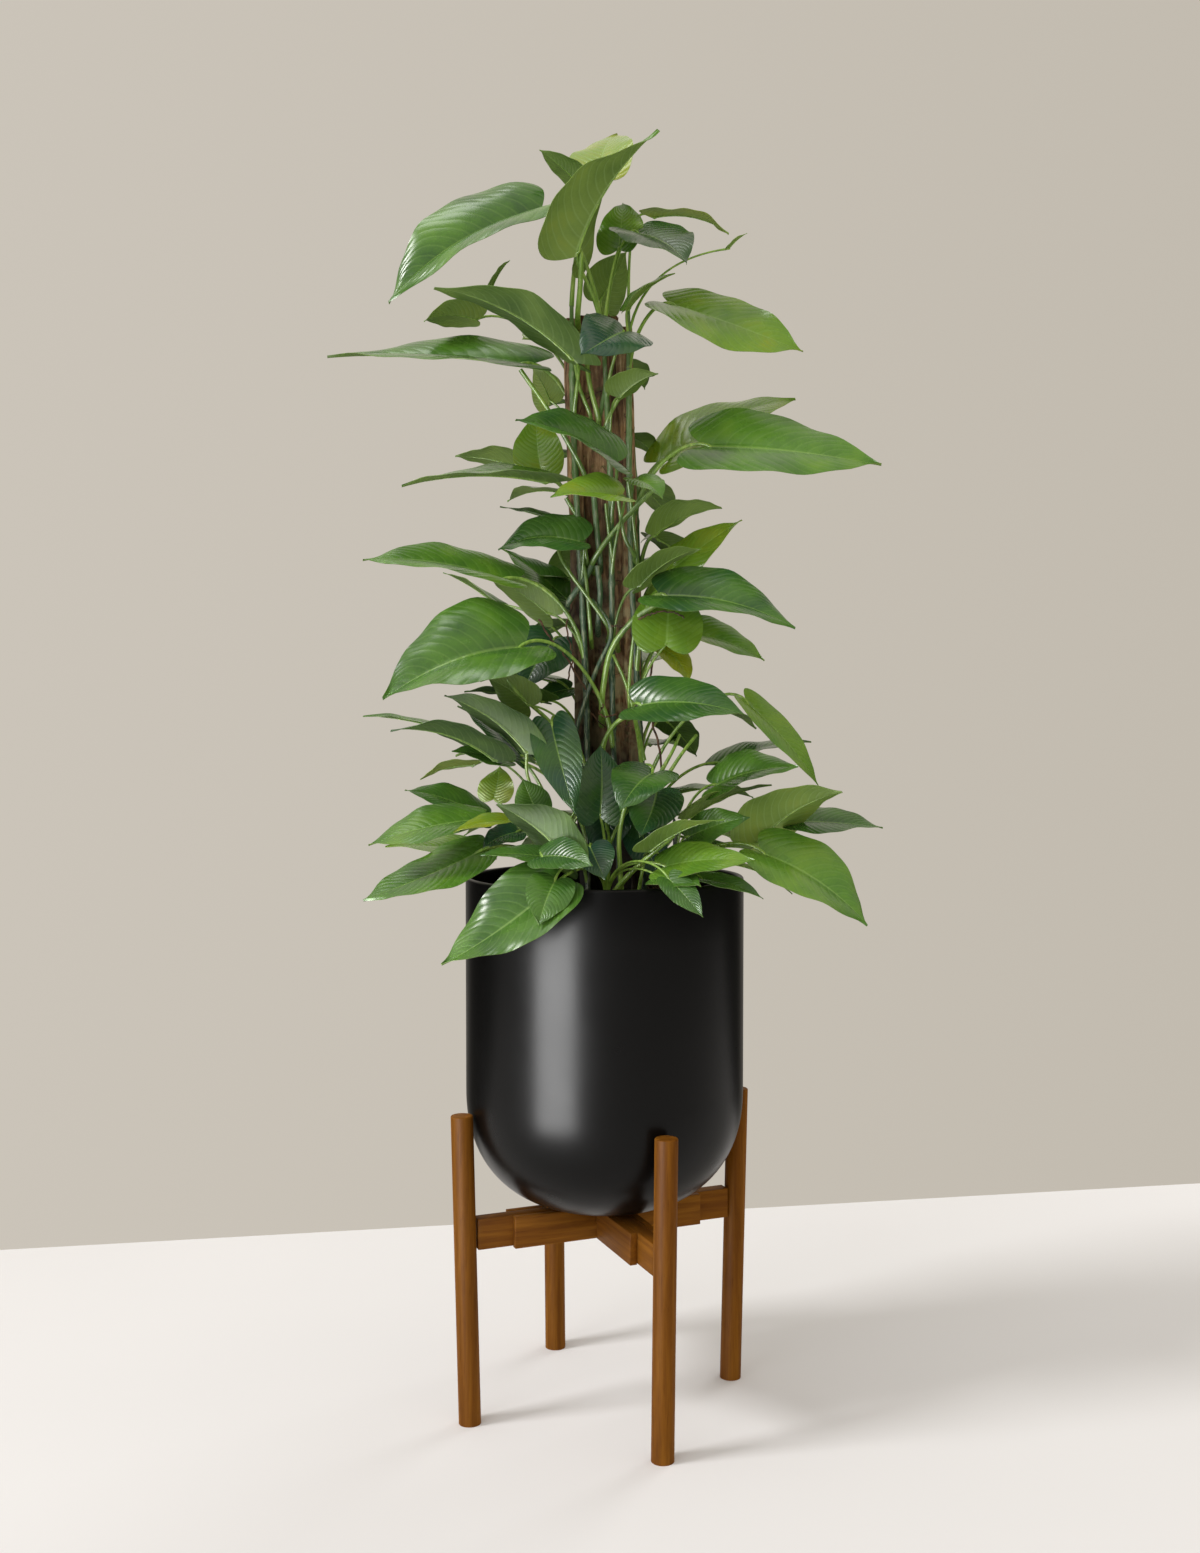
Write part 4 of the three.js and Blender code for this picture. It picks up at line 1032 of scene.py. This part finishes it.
stem_skin, tree, shader = finish("stem_skin", Roughness=0.6, Specular_IOR_Level=0.35)
place = add(tree, "TexCoord").outputs["Object"]
age = mapped(tree, add(tree, "SeparateXYZ", Vector=place).outputs[2], 0.60, 1.10, 0.0, 1.0)
upright = add(tree, "Mapping", Vector=place, Scale=(1.0, 1.0, 0.16)).outputs[0]
scurf = cloudy(tree, upright, 520.0, 3.0)
rind = ramp(tree, age, (0.0, (36, 54, 38)), (0.5, (46, 78, 50)), (1.0, (92, 128, 60)))
flecks = ramp(tree, scurf, (0.49, (0, 0, 0)), (0.64, (200, 200, 200)))
flecked = blend(tree, flecks, rind, srgb(150, 158, 122))
connect(tree, shader, Base_Color=flecked, Normal=embossed(tree, scurf, 0.5, 0.0008))

# Stalks are fresh green, with a deeper green close to the pole as painted shade.
stalk_skin, tree, shader = finish("stalk_skin", Roughness=0.42, Specular_IOR_Level=0.45)
place = add(tree, "TexCoord").outputs["Object"]
upright = add(tree, "Mapping", Vector=place, Scale=(1.0, 1.0, 0.10)).outputs[0]
soft = cloudy(tree, upright, 260.0, 3.0, Distortion=0.4)
fresh = ramp(tree, soft, (0.32, (106, 144, 48)), (0.52, (130, 168, 64)), (0.72, (166, 194, 92)))
deep = ramp(tree, soft, (0.32, (54, 80, 36)), (0.52, (72, 104, 44)), (0.72, (98, 128, 60)))
sideways, _, upwards = add(tree, "SeparateXYZ", Vector=place).outputs
# Painted shade: from 0.80 to 1.14 m high and near the pole, up to two thirds of the deeper green is mixed
# in.
shaded = mapped(tree, upwards, 0.80, 0.87, 0.0, 0.65, smooth=True)
shaded = calc(tree, "MULTIPLY", shaded, mapped(tree, upwards, 1.04, 1.14, 1.0, 0.0, smooth=True))
off_pole = calc(tree, "ABSOLUTE", sideways)
shaded = calc(tree, "MULTIPLY", shaded, mapped(tree, off_pole, 0.035, 0.065, 1.0, 0.0, smooth=True))
connect(tree, shader, Base_Color=blend(tree, shaded, fresh, deep))

root_skin, tree, shader = finish("root_skin", Roughness=0.85, Specular_IOR_Level=0.2)
place = add(tree, "TexCoord").outputs["Object"]
fibrous = ramp(tree, cloudy(tree, place, 130.0, 3.0), (0.35, (52, 36, 28)), (0.65, (112, 82, 58)))
connect(tree, shader, Base_Color=fibrous)

# The stem, stalks and roots of a vine are drawn as round lines and made into one mesh.
for vine, (_, _, top) in VINES.items():
    lines = bpy.data.curves.new("stems_" + vine, "CURVE")
    lines.dimensions = "3D"
    lines.bevel_depth = 1.0
    lines.bevel_resolution = 2
    lines.use_fill_caps = True
    for skin in (stem_skin, stalk_skin, root_skin):
        lines.materials.append(skin)
    points, radii, joints = climbing_stem(vine, top)
    add_line(lines, points, radii, STEM)
    for number, leaf in enumerate(LEAVES):
        if leaf[0] == vine:
            add_line(lines, *leaf_stalk(vine, top, Blade(leaf, number)), STALK)
    for points in bark_roots(joints):
        thin = draws.uniform(*ROOT_RADIUS)
        count = len(points) - 1
        add_line(lines, points, [thin * (1 - 0.75 * k / count) for k in range(count + 1)], ROOT)
    for kind, radius, route in CROSSINGS if vine == "front" else []:
        points = through([Vector(mark) / 1000 for mark in route], CROSSING_STEPS)
        count = len(points) - 1
        if kind == ROOT:
            points = [point + Vector(draws.uniform(-CROSSING_ROUGH, CROSSING_ROUGH, 3)) for point in points]
        swell = CROSSING_SWELL if kind == STALK else 0.0
        radii = [MM * radius * (1 + swell * (k / count) ** 3) for k in range(count + 1)]
        add_line(lines, points, radii, kind)
    stems = in_scene("stems_" + vine, lines)
    only(stems)
    bpy.ops.object.convert(target="MESH")
    stems = bpy.context.object
    bpy.ops.object.shade_smooth_by_angle(angle=math.radians(50))
    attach(stems, "root")
    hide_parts("vine_" + vine)

# Leaves: leathery heart-shaped blades with a drawn-out tip, folded along the midrib, their side
# veins curving in even rows to the tip. Glossy above, paler and dull below. One blade is made
# flat, and each leaf is a copy of it, bent to its own form and place and then given its thickness.
LEAF_THICK = 0.0005
LEAF_COLUMNS = 20
LEAF_ROWS = 30
BASE_ROWS = 11
VEINS = 13
VEIN_SWEEP = 0.30


def vein_rows(tree):
    """Across and along the blade, a wave that dips at each side vein, and bulges between them."""
    unrolled = add(tree, "UVMap", {"uv_map": "UVMap"}).outputs["UV"]
    sideways, along, _ = add(tree, "SeparateXYZ", Vector=unrolled).outputs
    across = calc(tree, "ABSOLUTE", calc(tree, "MULTIPLY_ADD", sideways, 2.0, -1.0))
    sweep = calc(tree, "MULTIPLY", calc(tree, "POWER", across, 1.25), VEIN_SWEEP)
    swept = calc(tree, "SUBTRACT", along, sweep)
    swept = calc(tree, "MULTIPLY_ADD", cloudy(tree, unrolled, 5.0, 1.0), 0.03, swept)
    wave = calc(tree, "SINE", calc(tree, "MULTIPLY", swept, 2 * math.pi * VEINS))
    half_wave = calc(tree, "MULTIPLY_ADD", swept, math.pi * VEINS, math.pi / 4)
    bulges = calc(tree, "ABSOLUTE", calc(tree, "SINE", half_wave))
    return across, along, wave, bulges


def leaf_skin(name, tones, rib, rib_shows, rib_stands, veins_show, roughness, shine):
    """A leaf finish: tones from blue-green to yellow-green, with the rib and veins of that face."""
    made, tree, shader = finish(name, Specular_IOR_Level=shine)
    across, along, wave, bulges = vein_rows(tree)
    # The leaf's tone carries painted light as well as its own colour: paler yellow-green where light shines
    # through the leaf, darker where it lies in shade.
    tone = add(tree, "Attribute", {"attribute_name": "leaf_tone"}).outputs["Fac"]
    place = add(tree, "TexCoord").outputs["Object"]
    mottle = cloudy(tree, place, 22.0, 4.0)
    speckle = cloudy(tree, place, 420.0, 2.0)
    varied = calc(tree, "MULTIPLY_ADD", calc(tree, "SUBTRACT", mottle, 0.5), 0.75, tone)
    varied = calc(tree, "MULTIPLY_ADD", calc(tree, "SUBTRACT", speckle, 0.5), 0.12, varied)
    varied = calc(tree, "MULTIPLY_ADD", wave, 0.014, varied)
    green = ramp(tree, varied, *tones)
    rib_width = calc(tree, "MULTIPLY_ADD", along, -0.024, 0.042)
    near_rib = mapped(tree, calc(tree, "DIVIDE", across, rib_width), 0.55, 1.25, rib_shows, 0.0)
    fading = mapped(tree, along, 0.80, 0.97, 1.0, 0.0)
    clear = calc(tree, "MULTIPLY", calc(tree, "MULTIPLY_ADD", tone, 1.2, 0.3), fading)
    lined = calc(tree, "MULTIPLY", mapped(tree, wave, -1.0, -0.72, veins_show, 0.0), clear)
    veined = blend(tree, near_rib, blend(tree, lined, green, rib), rib)
    dull = mapped(tree, mottle, 0.3, 0.7, roughness - 0.05, roughness + 0.07)
    relief = calc(tree, "MULTIPLY_ADD", near_rib, rib_stands, calc(tree, "MULTIPLY", bulges, fading))
    connect(tree, shader, Base_Color=veined, Roughness=dull, Normal=embossed(tree, relief, 0.45, 0.0005))
    return made


UPPER_TONES = [
    (0.0, (38, 74, 56)),
    (0.2, (46, 85, 37)),
    (0.5, (80, 124, 37)),
    (0.75, (112, 149, 41)),
    (1.0, (140, 152, 20)),
]
UNDER_TONES = [
    (0.0, (52, 80, 34)),
    (0.3, (86, 116, 46)),
    (0.6, (120, 148, 64)),
    (1.0, (152, 164, 52)),
]
UPPER_RIB = srgb(134, 172, 84)
UNDER_RIB = srgb(156, 184, 112)
upper_skin = leaf_skin(
    "leaf_upper", UPPER_TONES, UPPER_RIB,
    rib_shows=0.5, rib_stands=-1.2, veins_show=0.18, roughness=0.25, shine=0.42,
)
under_skin = leaf_skin(
    "leaf_under", UNDER_TONES, UNDER_RIB,
    rib_shows=0.7, rib_stands=1.6, veins_show=0.24, roughness=0.58, shine=0.25,
)

# The flat blade, from 0 to 1 along y, with its rows closer together towards the rounded base.
deselect()
bpy.ops.mesh.primitive_grid_add(x_subdivisions=LEAF_COLUMNS, y_subdivisions=LEAF_ROWS, size=2)
flat_leaf = bpy.context.object
flat_leaf.name = "flat_leaf"
for vertex in flat_leaf.data.vertices:
    row = round((vertex.co.y + 1) / 2 * LEAF_ROWS)
    if row < BASE_ROWS:
        t = WIDEST * (1 - math.cos(math.pi / 2 * row / BASE_ROWS))
    else:
        t = WIDEST + (1 - WIDEST) * (row - BASE_ROWS) / (LEAF_ROWS - BASE_ROWS)
    vertex.co = (vertex.co.x, t, 0)
for loop, spot in zip(flat_leaf.data.loops, flat_leaf.data.uv_layers[0].data):
    corner = flat_leaf.data.vertices[loop.vertex_index].co
    spot.uv = ((corner.x + 1) / 2, corner.y)

# The leaves of a vine are joined in one piece, and then get their thickness, with the underside's
# skin on one face and the rim.
for vine in VINES:
    sheets = []
    for number, leaf in enumerate(LEAVES):
        if leaf[0] != vine:
            continue
        blade = Blade(leaf, number)
        sheet = in_scene("leaf", flat_leaf.data.copy())
        for vertex in sheet.data.vertices:
            vertex.co = blade.at(vertex.co.y, vertex.co.x)
        # Each leaf's tone, partly painted light, is kept on its points.
        tone = sheet.data.attributes.new("leaf_tone", "FLOAT", "POINT")
        tone.data.foreach_set("value", [blade.tone] * len(sheet.data.vertices))
        sheets.append(sheet)
    only(sheets[0])
    for sheet in sheets:
        sheet.select_set(True)
    bpy.ops.object.join()
    foliage = bpy.context.object
    foliage.name = "leaves_" + vine
    bpy.ops.object.mode_set(mode="EDIT")
    bpy.ops.mesh.select_all(action="SELECT")
    bpy.ops.mesh.remove_doubles(threshold=0.000002)
    bpy.ops.object.mode_set(mode="OBJECT")
    foliage.data.materials.clear()
    foliage.data.materials.append(upper_skin)
    foliage.data.materials.append(under_skin)
    body = foliage.modifiers.new("body", "SOLIDIFY")
    body.thickness = LEAF_THICK
    body.offset = 0
    body.material_offset = 1
    body.material_offset_rim = 1
    bpy.ops.object.modifier_apply(modifier="body")
    bpy.ops.object.shade_smooth_by_angle(angle=math.radians(60))
    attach(foliage, "root")
    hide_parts("vine_" + vine)
bpy.data.objects.remove(flat_leaf)
